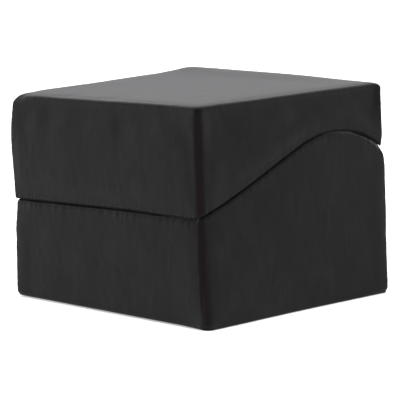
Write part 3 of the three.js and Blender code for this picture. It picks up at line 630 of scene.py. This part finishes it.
def dress_lid(obj):
    """Seams, puckers and the small unevenness of velvet over foam."""
    mesh = obj.data
    p, n = points_of(mesh), normals_of(mesh)
    skin = weights_of(obj, "skin")
    run = face_run(p)
    above = p[:, 2] - underside(p[:, 0], p[:, 1])
    corner = corner_distance(p, LID_BACK)
    wall = skin * upright(n)
    down_seam = wall * (1 - smooth(p[:, 2], TOP - 0.022, TOP - 0.012))
    groove = np.exp(-(corner / SEAM_WIDTH) ** 2) * down_seam
    shift = -SEAM_DEPTH * groove
    pucker = ripples(p[:, 2], PUCKER_PITCH, 11)
    shift += PUCKER_RISE * pucker * down_seam * np.exp(-((corner - PUCKER_REACH) / PUCKER_REACH) ** 2)
    lip = wall * np.exp(-np.abs(above - 0.005) / 0.006)
    shift += LIP_RIPPLE * ripples(run, PUCKER_PITCH, 12) * lip
    shift += 0.00030 * waves(p, 0.11, 13) * skin * smooth(above, 0.004, 0.04) * (1 - 0.75 * np.abs(n[:, 2]))
    shift += FINE_RISE * waves(p, FINE_PITCH, 14) * skin * smooth(above, 0.002, 0.02)
    from_top = np.abs(p[:, 2] - (TOP - TOP_EDGE * 0.75))
    top_seam = skin * np.exp(-(from_top / 0.0012) ** 2) * smooth(1 - np.abs(n[:, 2]), 0.1, 0.4)
    shift -= 0.0005 * top_seam
    edge_pucker = waves(np.column_stack((run, p[:, 0] * 0.3, p[:, 1] * 0.3)), 0.014, 15)
    shift += 0.00018 * edge_pucker * skin * np.exp(-(from_top / 0.007) ** 2)
    rear = smooth(p[:, 1], 0.236, 0.25) * (1 - smooth(p[:, 2], 0.345, 0.39))
    shift *= 1 - 0.9 * rear
    p = p + n * shift[:, None] + spread(p, LID_BACK, lid_spread(p) * skin)
    p[:, 2] -= sink(p) * skin
    beside_hinge = np.abs(p[:, 0]) > HINGE_HALF + 0.004
    rear_lip = smooth(p[:, 1], 0.245, 0.256) * (1 - smooth(above, 0.002, 0.028)) * beside_hinge
    p[:, 1] -= REAR_LIP_IN * rear_lip * skin
    floor = underside(p[:, 0], p[:, 1]) - 0.0001
    p[:, 2] = np.maximum(p[:, 2], floor)
    set_points(mesh, p)
    # The 'seam' attribute is painted shade: it darkens the colour near the upright corner seams and, more
    # weakly, along the top seam.
    mark(mesh, "seam", np.clip(np.exp(-(corner / SEAM_SHADE_REACH) ** 2) * down_seam + 0.25 * top_seam, 0, 1))


def mark(mesh, label, values):
    data = mesh.attributes.new(label, "FLOAT", "POINT")
    data.data.foreach_set("value", np.asarray(values, np.float32))


lid = build_lid()
inflate(lid, lid_cap, SWELL_PRESSURE)
subdivide(lid)
dress_lid(lid)


# ---- Base upholstery: cover and foam round the base's walls ----
RIM_EDGE = 0.0075
RIM_INNER = 0.004
FOOT_EDGE = 0.003
FOOT_DOWN = 0.0034  # the padding bulges below the frame
NEAR_FLARE = 0.011  # how far the front right corner's foot leans out to the right
FLARE_HEIGHT = 0.21
FLARE_DEPTH = 0.2


def build_base():
    lattice = Lattice()
    edge = ring(0, CORNER)
    rear = smooth(edge[:, 1], 0.2277, 0.2320)

    def under(inset, height, skin=1.0):
        lattice.add(ring(inset, CORNER - inset), height, 0.0, skin)

    def over(inset, drop, free=0.0, skin=1.0):
        plan = ring(inset, CORNER - inset)
        lattice.add(plan, rim(plan[:, 0], plan[:, 1]) - drop, free, skin)

    inside = COVER_HEM + 0.0004
    under(inside, FRAME_BOTTOM - FIT, 0.0)
    under(inside, BASE_BOTTOM)
    down = FOOT_DOWN * (0.4 + 0.6 * smooth(edge[:, 0], 0.22, HALF_X))
    foot = BASE_BOTTOM - down
    for inset, share in ((0.024, 1.0), (0.016, 0.55), (0.009, 0.12), (FOOT_EDGE, 0)):
        under(inset, foot + down * share)
    for angle in (22, 45, 67):
        a = math.radians(angle)
        under(FOOT_EDGE * (1 - math.sin(a)), foot + FOOT_EDGE * (1 - math.cos(a)))
    low = foot + FOOT_EDGE
    high = rim(edge[:, 0], edge[:, 1]) - RIM_EDGE
    for t in np.linspace(0, 1, 31):
        free = smooth(t, 0.0, 0.12) * (1 - smooth(t, 0.85, 0.98))
        lattice.add(edge, low + (high - low) * eased(t), free)
    for angle in (18, 36, 54, 72, 90):
        a = math.radians(angle)
        over(RIM_EDGE * (1 - math.cos(a)), RIM_EDGE * (1 - math.sin(a)))
    for inset in (0.0115, 0.016, 0.021):
        over(inset, 0)
    for angle in (90, 67, 45, 22, 0):
        a = math.radians(angle)
        over(LIP_IN - RIM_INNER * (1 - math.cos(a)), RIM_INNER * (1 - math.sin(a)))
    for drop in (0.010, 0.018, 0.025, COVER_LIP):
        over(LIP_IN, drop)
    over(LIP_OUT, COVER_LIP, 0.0, 0.0)
    pad = RIM_PAD + rear * (COVER + FIT - RIM_PAD)
    over(LIP_OUT, pad, 0.0, 0.0)
    over(PAD_IN, pad, 0.0, 0.0)
    under(PAD_IN, FRAME_BOTTOM - FIT, 0.0)
    return lattice.build("base_upholstery", closed_ring=True)


BASE_SWELL = 0.0038


def base_cap(p):
    under = rim(p[:, 0], p[:, 1]) - p[:, 2]
    rear = smooth(p[:, 1], 0.245, 0.255)
    return (BASE_SWELL + 0.003 * rear) * smooth(under, 0.0, 0.06)


def dress_base(obj):
    mesh = obj.data
    p, n = points_of(mesh), normals_of(mesh)
    skin = weights_of(obj, "skin")
    run = face_run(p)
    outer = skin * smooth(np.maximum(np.abs(p[:, 0]) - HALF_X, np.abs(p[:, 1]) - REAR_Y), -0.012, -0.007)
    under = rim(p[:, 0], p[:, 1]) - p[:, 2]
    corner = corner_distance(p, REAR_Y)
    wall = outer * upright(n)
    down_seam = wall * smooth(under, 0.002, 0.008)
    shift = -SEAM_DEPTH * np.exp(-(corner / SEAM_WIDTH) ** 2) * down_seam
    pucker = ripples(p[:, 2], PUCKER_PITCH, 21)
    shift += PUCKER_RISE * pucker * down_seam * np.exp(-((corner - PUCKER_REACH) / PUCKER_REACH) ** 2)
    lip = wall * np.exp(-np.abs(under - 0.006) / 0.007)
    shift += LIP_RIPPLE * ripples(run, PUCKER_PITCH, 22) * lip
    shift += 0.00035 * waves(p, 0.12, 23) * outer * smooth(under, 0.006, 0.05) * smooth(p[:, 2], 0.006, 0.03)
    shift += FINE_RISE * waves(p, FINE_PITCH, 24) * outer * smooth(under, 0.004, 0.03)
    p = p + n * shift[:, None] + spread(p, REAR_Y, base_spread(p) * outer)
    lean = np.clip(1 - p[:, 2] / FLARE_HEIGHT, 0, 1) * smooth(p[:, 0], 0.2, HALF_X)
    lean = lean * np.exp(-((p[:, 1] + REAR_Y) / FLARE_DEPTH) ** 2)
    p[:, 0] += NEAR_FLARE * lean * outer
    roof = rim(p[:, 0], p[:, 1]) + 0.0001
    p[:, 2] = np.minimum(p[:, 2], np.where(outer + skin > 0, np.maximum(roof, 0), p[:, 2]))
    p[:, 2] = np.maximum(p[:, 2], BASE_BOTTOM - FOOT_DOWN - 0.0002)
    set_points(mesh, p)
    # The 'seam' attribute is painted shade: it darkens the colour near the upright corner seams.
    mark(mesh, "seam", np.clip(np.exp(-(corner / SEAM_SHADE_REACH) ** 2) * down_seam, 0, 1))


base = build_base()
inflate(base, base_cap, SWELL_PRESSURE)
subdivide(base)
dress_base(base)


# ---- The well's lining: a bag of thin cloth under the cover's lip ----
LINING = 0.0012
BAG_TOP = COVER_LIP + FIT
BAG_CORNER = 0.009
BAG_FOLD = 0.0013
STAY_ZONE = (0.070, 0.165)


def build_bag():
    lattice = Lattice()
    outer = LIP_OUT
    inner = outer + LINING
    lattice.add(ring(outer, 0), LINING_Z)
    plan = ring(outer, 0)
    top = rim(plan[:, 0], plan[:, 1]) - BAG_TOP
    for t in (0.33, 0.67, 1.0):
        lattice.add(plan, LINING_Z + (top - LINING_Z) * t)
    floor_z = LINING_Z + LINING
    for t in np.linspace(0, 1, 20):
        radius = 0.001 + (BAG_CORNER - 0.001) * t
        plain = ring(inner, radius)
        top = rim(plain[:, 0], plain[:, 1]) - BAG_TOP
        height = top + (floor_z + BAG_CORNER - top) * t
        place = np.column_stack((plain, height))
        clear = 1 - smooth(plain[:, 1], STAY_ZONE[0] - 0.03, STAY_ZONE[0]) * (
            1 - smooth(plain[:, 1], STAY_ZONE[1], STAY_ZONE[1] + 0.03))
        folds = (0.5 + 0.5 * np.tanh(waves(place * (1, 1, 0.35), 0.07, 31))) * clear
        inset = inner + BAG_FOLD * folds * math.sin(math.pi * t)
        lattice.add(ring(inset, radius), height)
    for angle in (30, 60, 90):
        a = math.radians(angle)
        inset = inner + BAG_CORNER * (1 - math.cos(a))
        lattice.add(ring(inset, BAG_CORNER), floor_z + BAG_CORNER * (1 - math.sin(a)))
    obj = lattice.build("well_lining")
    p = points_of(obj.data)
    inside = smooth(np.minimum(LINING_X - np.abs(p[:, 0]), LINING_Y - np.abs(p[:, 1])), 0.012, 0.05)
    flat = (p[:, 2] > floor_z - 0.0002) * (p[:, 2] < floor_z + 0.002)
    p[:, 2] += flat * inside * 0.0011 * (1 + np.tanh(waves(p, 0.09, 32)))
    set_points(obj.data, p)
    return obj


def slab(name, xs, ys, low, high):
    """A closed thin sheet between two height fields given at xs by ys."""
    nx, ny = len(xs), len(ys)
    grid = np.stack(np.meshgrid(xs, ys, indexing="ij"), -1).reshape(-1, 2)
    points = np.vstack((np.column_stack((grid, low.ravel())), np.column_stack((grid, high.ravel()))))
    up = nx * ny
    faces = []
    for i in range(nx - 1):
        for j in range(ny - 1):
            a, b, c, d = i * ny + j, (i + 1) * ny + j, (i + 1) * ny + j + 1, i * ny + j + 1
            faces += [(d, c, b, a), (a + up, b + up, c + up, d + up)]
    border = [i * ny for i in range(nx)] + [(nx - 1) * ny + j for j in range(1, ny)]
    border += [i * ny + ny - 1 for i in range(nx - 2, -1, -1)] + [j for j in range(ny - 2, 0, -1)]
    for here, there in zip(border, border[1:] + border[:1]):
        faces.append((here, there, there + up, here + up))
    mesh = bpy.data.meshes.new(name)
    mesh.from_pydata([tuple(p) for p in points], [], faces)
    mesh.polygons.foreach_set("use_smooth", np.ones(len(mesh.polygons), bool))
    return link(bpy.data.objects.new(name, mesh))


SHEET_STEP = 0.006


def spaced(half):
    return np.linspace(-half, half, round(2 * half / SHEET_STEP) + 1)


def field(xs, ys):
    return np.meshgrid(xs, ys, indexing="ij")


LID_LINING_UP = 0.0014
LID_LINING_SAG = 0.0022


def build_lid_lining():
    """Cloth pulled over the lid's wadding, and tucked under the cover's hem."""
    xs, ys = spaced(LID_LINING_X), spaced(LID_LINING_Y)
    x, y = field(xs, ys)
    low = split(x, y) + LID_LINING_UP * steep(y)
    high = low + LINING * steep(y)
    inside = smooth(0.222 - np.abs(x), 0, 0.05) * smooth(LID_LINING_Y - np.abs(y), 0.004, 0.05)
    place = np.column_stack((x.ravel(), y.ravel(), y.ravel() * 0))
    creases = waves(place, 0.08, 41).reshape(x.shape)
    tucks = waves(place * (1, 0.4, 1), 0.024, 42).reshape(x.shape)
    edge = np.exp(-np.minimum(LID_LINING_X - np.abs(x), LID_LINING_Y - np.abs(y)) / 0.012)
    low = low - inside * (LID_LINING_SAG + 0.0007 * creases) + 0.00025 * edge * (1 - np.tanh(tucks))
    return slab("lid_lining_cloth", xs, ys, low, np.maximum(high, low + 0.0004))


DUST_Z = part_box("dust_cover")[0].z
DUST_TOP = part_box("dust_cover")[1].z
DUST_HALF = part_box("dust_cover")[1]
DUST_HEM = 0.012


def build_dust_sheet():
    """Felt stapled under the base, its edge folded in once."""
    xs, ys = spaced(DUST_HALF.x), spaced(DUST_HALF.y)
    x, y = field(xs, ys)
    margin = np.minimum(DUST_HALF.x - np.abs(x), DUST_HALF.y - np.abs(y))
    place = np.column_stack((x.ravel(), y.ravel(), y.ravel() * 0))
    sag = 0.0006 + 0.0003 * waves(place, 0.1, 51).reshape(x.shape)
    hem = 1 - smooth(margin, DUST_HEM, DUST_HEM + 0.004)
    low = DUST_Z - sag * smooth(margin, 0.02, 0.08) - 0.0005 * hem
    return slab("dust_sheet", xs, ys, low, np.full(x.shape, DUST_TOP))


# ---- Staples: bent wire, driven in rows ----
STAPLE = 0.0105
WIRE = 0.0006
WIRE_SIDES = 6
STAPLE_STEP = 0.046


def staples(name, places):
    """places: (middle, along, out) for each staple. The wire stands out by its own thickness."""
    verts, faces = [], []
    for middle, along, out in places:
        middle, along, out = (np.asarray(v, float) for v in (middle, along, out))
        across = np.cross(along, out)
        rail = [(-STAPLE / 2, -0.0008), (-STAPLE / 2, WIRE * 0.3), (-STAPLE / 2 + WIRE, WIRE * 0.75)]
        rail += [(-u, v) for u, v in rail[::-1]]
        start = len(verts)
        for u, v in rail:
            for k in range(WIRE_SIDES):
                a = k * 2 * math.pi / WIRE_SIDES
                height = v + WIRE / 2 * math.sin(a)
                verts.append(middle + along * u + out * height + across * WIRE / 2 * math.cos(a))
        for r in range(len(rail) - 1):
            here = start + r * WIRE_SIDES
            there = here + WIRE_SIDES
            for k in range(WIRE_SIDES):
                n = (k + 1) % WIRE_SIDES
                faces.append((here + k, here + n, there + n, there + k))
        last = start + (len(rail) - 1) * WIRE_SIDES
        faces.append(tuple(start + k for k in range(WIRE_SIDES))[::-1])
        faces.append(tuple(last + k for k in range(WIRE_SIDES)))
    mesh = bpy.data.meshes.new(name)
    mesh.from_pydata([tuple(v) for v in verts], [], faces)
    work = bmesh.new()
    work.from_mesh(mesh)
    bmesh.ops.recalc_face_normals(work, faces=work.faces)
    work.to_mesh(mesh)
    work.free()
    mesh.polygons.foreach_set("use_smooth", np.ones(len(mesh.polygons), bool))
    return link(bpy.data.objects.new(name, mesh))


def row(half):
    count = int(2 * (half - 0.02) / STAPLE_STEP)
    return (np.arange(count + 1) - count / 2) * STAPLE_STEP


def bottom_places():
    x, y = DUST_HALF.x - 0.006, DUST_HALF.y - 0.006
    z = DUST_Z - 0.0005
    for u in row(x):
        yield from (((u, side * y, z), (1, 0, 0), (0, 0, -1)) for side in (-1, 1))
    for v in row(y):
        yield from (((side * x, v, z), (0, 1, 0), (0, 0, -1)) for side in (-1, 1))


def lid_places():
    """Along the hem's inner edge, square to the split, and clear of the stay brackets."""
    x, y = HALF_X - LID_HEM + 0.005, REAR_Y - LID_HEM + 0.005
    for v in row(y):
        if 0.075 < v < 0.14:
            continue
        slope = (profile(v + 1e-3) - profile(v - 1e-3)) / 2e-3
        along = np.array((0, 1, slope)) / math.hypot(1, slope)
        out = np.array((0, slope, -1)) / math.hypot(1, slope)
        for side in (-1, 1):
            yield (side * x, v, float(underside(side * x, v))), along, out
    slope = (profile(-y + 1e-3) - profile(-y - 1e-3)) / 2e-3
    out = np.array((0, slope, -1)) / math.hypot(1, slope)
    for u in row(x):
        yield (u, -y, float(underside(u, -y))), (1, 0, 0), out


bag = build_bag()
subdivide(bag)
lid_lining = build_lid_lining()
dust_sheet = build_dust_sheet()
bottom_staples = staples("bottom_staples", bottom_places())
lid_staples = staples("lid_staples", lid_places())


# ---- Materials ----
class Shader:
    """A material's node tree, with short calls to add and join nodes."""

    def __init__(self, name):
        self.material = bpy.data.materials.new(name)
        self.material.use_nodes = True
        self.tree = self.material.node_tree
        self.main = self.tree.nodes["Principled BSDF"]

    def node(self, kind, **inputs):
        made = self.tree.nodes.new(kind)
        for key, value in inputs.items():
            socket = made.inputs[key.replace("_", " ")]
            if isinstance(value, bpy.types.NodeSocket):
                self.tree.links.new(value, socket)
            else:
                socket.default_value = value
        return made

    def coords(self, scale):
        place = self.tree.nodes.new("ShaderNodeTexCoord").outputs["Object"]
        sized = self.tree.nodes.new("ShaderNodeVectorMath")
        sized.operation = "MULTIPLY"
        self.tree.links.new(place, sized.inputs[0])
        sized.inputs[1].default_value = scale if hasattr(scale, "__len__") else (scale,) * 3
        return sized.outputs[0]

    def noise(self, scale, detail=3.0, roughness=0.55, distortion=0.0):
        made = self.node("ShaderNodeTexNoise", Vector=self.coords(scale))
        made.inputs["Scale"].default_value = 1.0
        made.inputs["Detail"].default_value = detail
        made.inputs["Roughness"].default_value = roughness
        made.inputs["Distortion"].default_value = distortion
        return made.outputs["Fac"]

    def ramp(self, factor, *stops):
        made = self.node("ShaderNodeValToRGB", Fac=factor)
        bar = made.color_ramp.elements
        while len(bar) < len(stops):
            bar.new(0.5)
        for element, (place, color) in zip(bar, stops):
            element.position = place
            element.color = (*color, 1) if hasattr(color, "__len__") else (color, color, color, 1)
        return made.outputs["Color"]

    def mix(self, factor, a, b, blend="MIX"):
        made = self.tree.nodes.new("ShaderNodeMix")
        made.data_type = "RGBA"
        made.blend_type = blend
        for socket, value in ((made.inputs[0], factor), (made.inputs[6], a), (made.inputs[7], b)):
            if isinstance(value, bpy.types.NodeSocket):
                self.tree.links.new(value, socket)
            elif hasattr(value, "__len__"):
                socket.default_value = (*value, 1)
            else:
                socket.default_value = value
        return made.outputs[2]

    def math(self, operation, a, b):
        made = self.tree.nodes.new("ShaderNodeMath")
        made.operation = operation
        for socket, value in zip(made.inputs, (a, b)):
            if isinstance(value, bpy.types.NodeSocket):
                self.tree.links.new(value, socket)
            else:
                socket.default_value = value
        return made.outputs[0]

    def attribute(self, label):
        made = self.tree.nodes.new("ShaderNodeAttribute")
        made.attribute_name = label
        return made.outputs["Fac"]

    def upward(self):
        """How far the surface faces up on the piece itself."""
        parts = self.tree.nodes.new("ShaderNodeSeparateXYZ")
        self.tree.links.new(self.tree.nodes.new("ShaderNodeTexCoord").outputs["Normal"], parts.inputs[0])
        return parts.outputs["Z"]

    def bump(self, height, distance, strength=1.0, under=None):
        made = self.node("ShaderNodeBump", Height=height, Strength=strength, Distance=distance)
        if under is not None:
            self.tree.links.new(under, made.inputs["Normal"])
        return made.outputs["Normal"]

    def finish(self, **values):
        for key, value in values.items():
            socket = self.main.inputs[key.replace("_", " ")]
            if isinstance(value, bpy.types.NodeSocket):
                self.tree.links.new(value, socket)
            elif hasattr(value, "__len__"):
                socket.default_value = (*value, 1)
            else:
                socket.default_value = value
        return self.material


VELVET_TONES = (
    (0.36, (0.0022, 0.0021, 0.0022)),
    (0.52, (0.0042, 0.0040, 0.0041)),
    (0.66, (0.0070, 0.0068, 0.0069)),
)


# The second argument scales the whole colour; values below 1 give darker copies of the velvet that are
# painted shade.
def velvet(name, shade_scale, sheen):
    s = Shader(name)
    cloudy = s.noise((9, 9, 7), 4.0, 0.6, 0.4)
    streaks = s.noise((26, 26, 15), 1.5, 0.5, 0.9)
    pile = s.noise(900, 2.0, 0.6)
    tone = s.math("ADD", s.math("MULTIPLY", cloudy, 0.6), s.math("MULTIPLY", streaks, 0.4))
    cloth = s.ramp(tone, *((at, tuple(shade_scale * c for c in color)) for at, color in VELVET_TONES))
    speckled = s.mix(0.35, cloth, s.ramp(pile, (0.35, 0.35), (0.7, 1.0)), "MULTIPLY")
    # Painted shade: near the seams the colour is mixed to a darker reddish black. The darkness stands for
    # shade; the reddish tint is the fabric's own.
    wear_and_painted_shade = s.mix(s.attribute("seam"), speckled, (0.0046, 0.0024, 0.0023))
    upright = s.math("SUBTRACT", 1.0, s.math("ABSOLUTE", s.upward(), 0.0))
    nap = s.bump(s.math("MULTIPLY", streaks, upright), 0.0022, 0.45)
    fuzz = s.bump(pile, 0.0004, 0.5, nap)
    rough = s.ramp(tone, (0.3, 0.80), (0.7, 0.92))
    return s.finish(
        Base_Color=wear_and_painted_shade, Roughness=rough, Normal=fuzz, Specular_IOR_Level=0.1,
        Sheen_Weight=sheen, Sheen_Roughness=0.40, Sheen_Tint=(0.97, 0.97, 1.0),
    )


def lining_cloth():
    s = Shader("lining")
    across = s.node("ShaderNodeTexWave", Vector=s.coords(1.0), Scale=420.0)
    across.bands_direction = "Y"
    upward = s.node("ShaderNodeTexWave", Vector=s.coords(1.0), Scale=420.0)
    upward.bands_direction = "Z"
    along = s.node("ShaderNodeTexWave", Vector=s.coords(1.0), Scale=420.0)
    crossed = s.math("MULTIPLY", across.outputs["Fac"], upward.outputs["Fac"])
    weave = s.math("ADD", crossed, along.outputs["Fac"])
    cloudy = s.noise(14, 4.0)
    tone = s.math("ADD", s.math("MULTIPLY", cloudy, 0.8), s.math("MULTIPLY", weave, 0.12))
    color = s.ramp(tone, (0.3, (0.010, 0.010, 0.011)), (0.75, (0.026, 0.026, 0.028)))
    slub = s.noise((600, 600, 40), 2.0)
    bump = s.bump(weave, 0.0002, 0.6, s.bump(slub, 0.0003, 0.4))
    return s.finish(Base_Color=color, Roughness=s.ramp(cloudy, (0.3, 0.75), (0.7, 0.9)), Normal=bump,
                    Specular_IOR_Level=0.25, Sheen_Weight=0.15, Sheen_Roughness=0.5)


def felt():
    s = Shader("felt")
    fibres = s.noise((700, 700, 700), 4.0, 0.7, 1.5)
    cloudy = s.noise(22, 3.0)
    dots = s.node("ShaderNodeTexVoronoi", Vector=s.coords(1.0), Scale=450.0)
    pressed = s.ramp(dots.outputs["Distance"], (0.1, 0.5), (0.4, 1.0))
    dyed = s.ramp(cloudy, (0.3, (0.012, 0.012, 0.013)), (0.7, (0.024, 0.024, 0.025)))
    color = s.mix(0.5, dyed, pressed, "MULTIPLY")
    return s.finish(Base_Color=color, Roughness=s.ramp(fibres, (0.3, 0.85), (0.7, 0.97)),
                    Normal=s.bump(fibres, 0.0004, 0.6, s.bump(pressed, 0.0002, 0.5)), Specular_IOR_Level=0.2)


def plywood():
    s = Shader("plywood")
    grain = s.noise((3, 60, 60), 5.0, 0.65, 1.2)
    plies = s.node("ShaderNodeTexWave", Vector=s.coords(1.0), Scale=62.0)
    plies.bands_direction = "Z"
    wood = s.ramp(grain, (0.3, (0.36, 0.21, 0.10)), (0.5, (0.52, 0.34, 0.18)), (0.7, (0.62, 0.44, 0.26)))
    layered = s.mix(0.25, wood, s.ramp(plies.outputs["Fac"], (0.2, 0.45), (0.6, 1.0)), "MULTIPLY")
    return s.finish(Base_Color=layered, Roughness=s.ramp(grain, (0.3, 0.6), (0.7, 0.8)),
                    Normal=s.bump(grain, 0.0003, 0.5), Specular_IOR_Level=0.3)


def metal(name, dark, light, low, high, stretch):
    s = Shader(name)
    brushed = s.noise(stretch, 3.0, 0.7)
    patina = s.noise(38, 4.0, 0.6, 0.5)
    scuffs = s.noise(420, 3.0, 0.7)
    tone = s.math("ADD", s.math("MULTIPLY", patina, 0.7), s.math("MULTIPLY", brushed, 0.3))
    color = s.ramp(tone, (0.3, dark), (0.7, light))
    wear_and_painted_shade = s.math("ADD", s.math("MULTIPLY", brushed, 0.6), s.math("MULTIPLY", scuffs, 0.4))
    rough = s.ramp(wear_and_painted_shade, (0.3, low), (0.7, high))
    return s.finish(Base_Color=color, Metallic=1.0, Roughness=rough, Normal=s.bump(brushed, 0.00008, 0.5))


def nylon():
    s = Shader("nylon")
    fine = s.noise(1400, 2.0)
    cloudy = s.noise(60, 3.0)
    color = s.ramp(cloudy, (0.3, (0.012, 0.012, 0.012)), (0.7, (0.028, 0.028, 0.028)))
    return s.finish(Base_Color=color, Roughness=s.ramp(cloudy, (0.3, 0.42), (0.7, 0.6)),
                    Normal=s.bump(fine, 0.0001, 0.4), Specular_IOR_Level=0.5)


LINING_CLOTH = lining_cloth()
VELVET = velvet("velvet", 1.0, 0.24)
# A darker, nearly sheenless copy of the velvet: painted shade in the split between lid and base.
SPLIT_SHADE_VELVET = velvet("velvet_painted_split_shade", 0.5, 0.02)
# A darker, low-sheen copy of the velvet: painted shade on the upright corners.
CORNER_SHADE_VELVET = velvet("velvet_painted_corner_shade", 0.66, 0.04)
FELT = felt()
PLYWOOD = plywood()
ZINC = metal("zinc", (0.24, 0.24, 0.235), (0.40, 0.40, 0.39), 0.24, 0.42, (900, 40, 900))
HINGE_STEEL = metal("hinge_steel", (0.06, 0.06, 0.062), (0.13, 0.13, 0.132), 0.30, 0.48, (30, 1100, 1100))
SCREW_STEEL = metal("screw_steel", (0.16, 0.155, 0.14), (0.32, 0.31, 0.29), 0.30, 0.48, 500)
NYLON = nylon()

CORNER_SHADE_NEAR = 0.0074  # width of the painted corner shade, from the corner's seam
CORNER_SHADE_ELSEWHERE = 0.0026


def paint_split_and_corner_shade(obj, inside, back):
    """Gives the darker split copy of the velvet, as painted shade, to the faces that turn into the split, and
    the darker corner copy, also painted shade, to the upright corners.
    """
    mesh = obj.data
    mesh.materials.append(SPLIT_SHADE_VELVET)
    mesh.materials.append(CORNER_SHADE_VELVET)
    centre = np.zeros(len(mesh.polygons) * 3)
    normal = np.zeros(len(mesh.polygons) * 3)
    mesh.polygons.foreach_get("center", centre)
    mesh.polygons.foreach_get("normal", normal)
    centre, normal = centre.reshape(-1, 3), normal.reshape(-1, 3)
    near = (centre[:, 0] > 0) & (centre[:, 1] < 0)
    width = np.where(near, CORNER_SHADE_NEAR, CORNER_SHADE_ELSEWHERE)
    # Painted shade: faces close to the corner seams get the darker corner copy.
    corner_shaded = (corner_distance(centre, back) < width) & (np.abs(normal[:, 2]) < 0.6)
    chosen = np.where(inside(centre, normal), 1, np.where(corner_shaded, 2, 0))
    mesh.polygons.foreach_set("material_index", chosen.astype(np.int32))


# Painted shade: the lid's faces that turn down into the split get the darker split copy.
def lid_split_shade_faces(p, n):
    return (p[:, 2] < underside(p[:, 0], p[:, 1]) + 0.008) & (n[:, 2] < -0.25)


# Painted shade: the base's rim faces that turn up into the split get the darker split copy.
def base_split_shade_faces(p, n):
    crest = smooth(p[:, 1], 0.03, 0.08) * (1 - smooth(p[:, 1], 0.16, 0.2))
    return (p[:, 2] > rim(p[:, 0], p[:, 1]) - 0.006) & (n[:, 2] > 0.7 + 0.24 * crest)


def dress(obj, material, body):
    obj.data.materials.clear()
    obj.data.materials.append(material)
    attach(obj, body)
    return obj


dress(lid, VELVET, "lid")
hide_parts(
    "lid_cover", "seat_foam", "lid_front_foam", "lid_rear_foam", "lid_left_foam", "lid_right_foam",
    "lid_wadding",
)
paint_split_and_corner_shade(lid, lid_split_shade_faces, LID_BACK)
dress(base, VELVET, "base")
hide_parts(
    "base_cover", "base_rim_foam", "base_front_foam", "base_rear_foam", "base_left_foam",
    "base_right_foam",
)
paint_split_and_corner_shade(base, base_split_shade_faces, REAR_Y)

dress(bag, LINING_CLOTH, "base")
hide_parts("storage_lining")
dress(lid_lining, LINING_CLOTH, "lid")
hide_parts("lid_lining")
dress(dust_sheet, FELT, "base")
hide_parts("dust_cover")
dress(bottom_staples, ZINC, "base")
dress(lid_staples, ZINC, "lid")

for name, node in NODES.items():
    if node.hide_render:
        continue
    if "screw" in name:
        look = SCREW_STEEL
    elif name.startswith("hinge"):
        look = HINGE_STEEL
    elif name.startswith("stay"):
        look = ZINC
    elif name.startswith("glide"):
        look = NYLON
    else:
        look = PLYWOOD
    node.data.materials.clear()
    node.data.materials.append(look)
    if look in (SCREW_STEEL, HINGE_STEEL, ZINC, NYLON):
        edge = node.modifiers.new("edges", "BEVEL")
        edge.width = 0.0003
        edge.segments = 2
        edge.limit_method = "ANGLE"
        edge.angle_limit = math.radians(40)

# ---- Floor, light and surroundings ----
FLOOR_SIZE = 40
floor_mesh = bpy.data.meshes.new("floor")
floor_mesh.from_pydata(
    [(x * FLOOR_SIZE, y * FLOOR_SIZE, 0) for x, y in ((-1, -1), (1, -1), (1, 1), (-1, 1))], [], [(0, 1, 2, 3)]
)
floor = link(bpy.data.objects.new("floor", floor_mesh))
paper = Shader("paper")
paper_tone = paper.noise(3, 3.0)
floor_mesh.materials.append(paper.finish(
    Base_Color=paper.ramp(paper_tone, (0.3, 0.93), (0.7, 0.95)), Roughness=0.9, Specular_IOR_Level=0.1,
    Emission_Color=(1.0, 1.0, 1.0), Emission_Strength=0.35))

world = bpy.data.worlds.new("studio")
bpy.context.scene.world = world
world.use_nodes = True
world.node_tree.nodes["Background"].inputs["Color"].default_value = (1.0, 1.0, 1.0, 1)
world.node_tree.nodes["Background"].inputs["Strength"].default_value = 1.5


def soft_light(name, place, target, size, power):
    data = bpy.data.lights.new(name, "AREA")
    data.shape = "RECTANGLE"
    data.size, data.size_y = size
    data.energy = power
    lamp = link(bpy.data.objects.new(name, data))
    lamp.location = place
    lamp.rotation_mode = "QUATERNION"
    lamp.rotation_quaternion = (Vector(target) - Vector(place)).to_track_quat("-Z", "Y")


soft_light("key", place=(-1.0, 1.6, 2.4), target=(0, 0, 0.4), size=(2.4, 2.4), power=6)
soft_light("fill", place=(1.9, 0.2, 1.45), target=(0.3, 0, 0.35), size=(1.2, 1.2), power=7.8)
bpy.context.scene.view_settings.view_transform = "Standard"
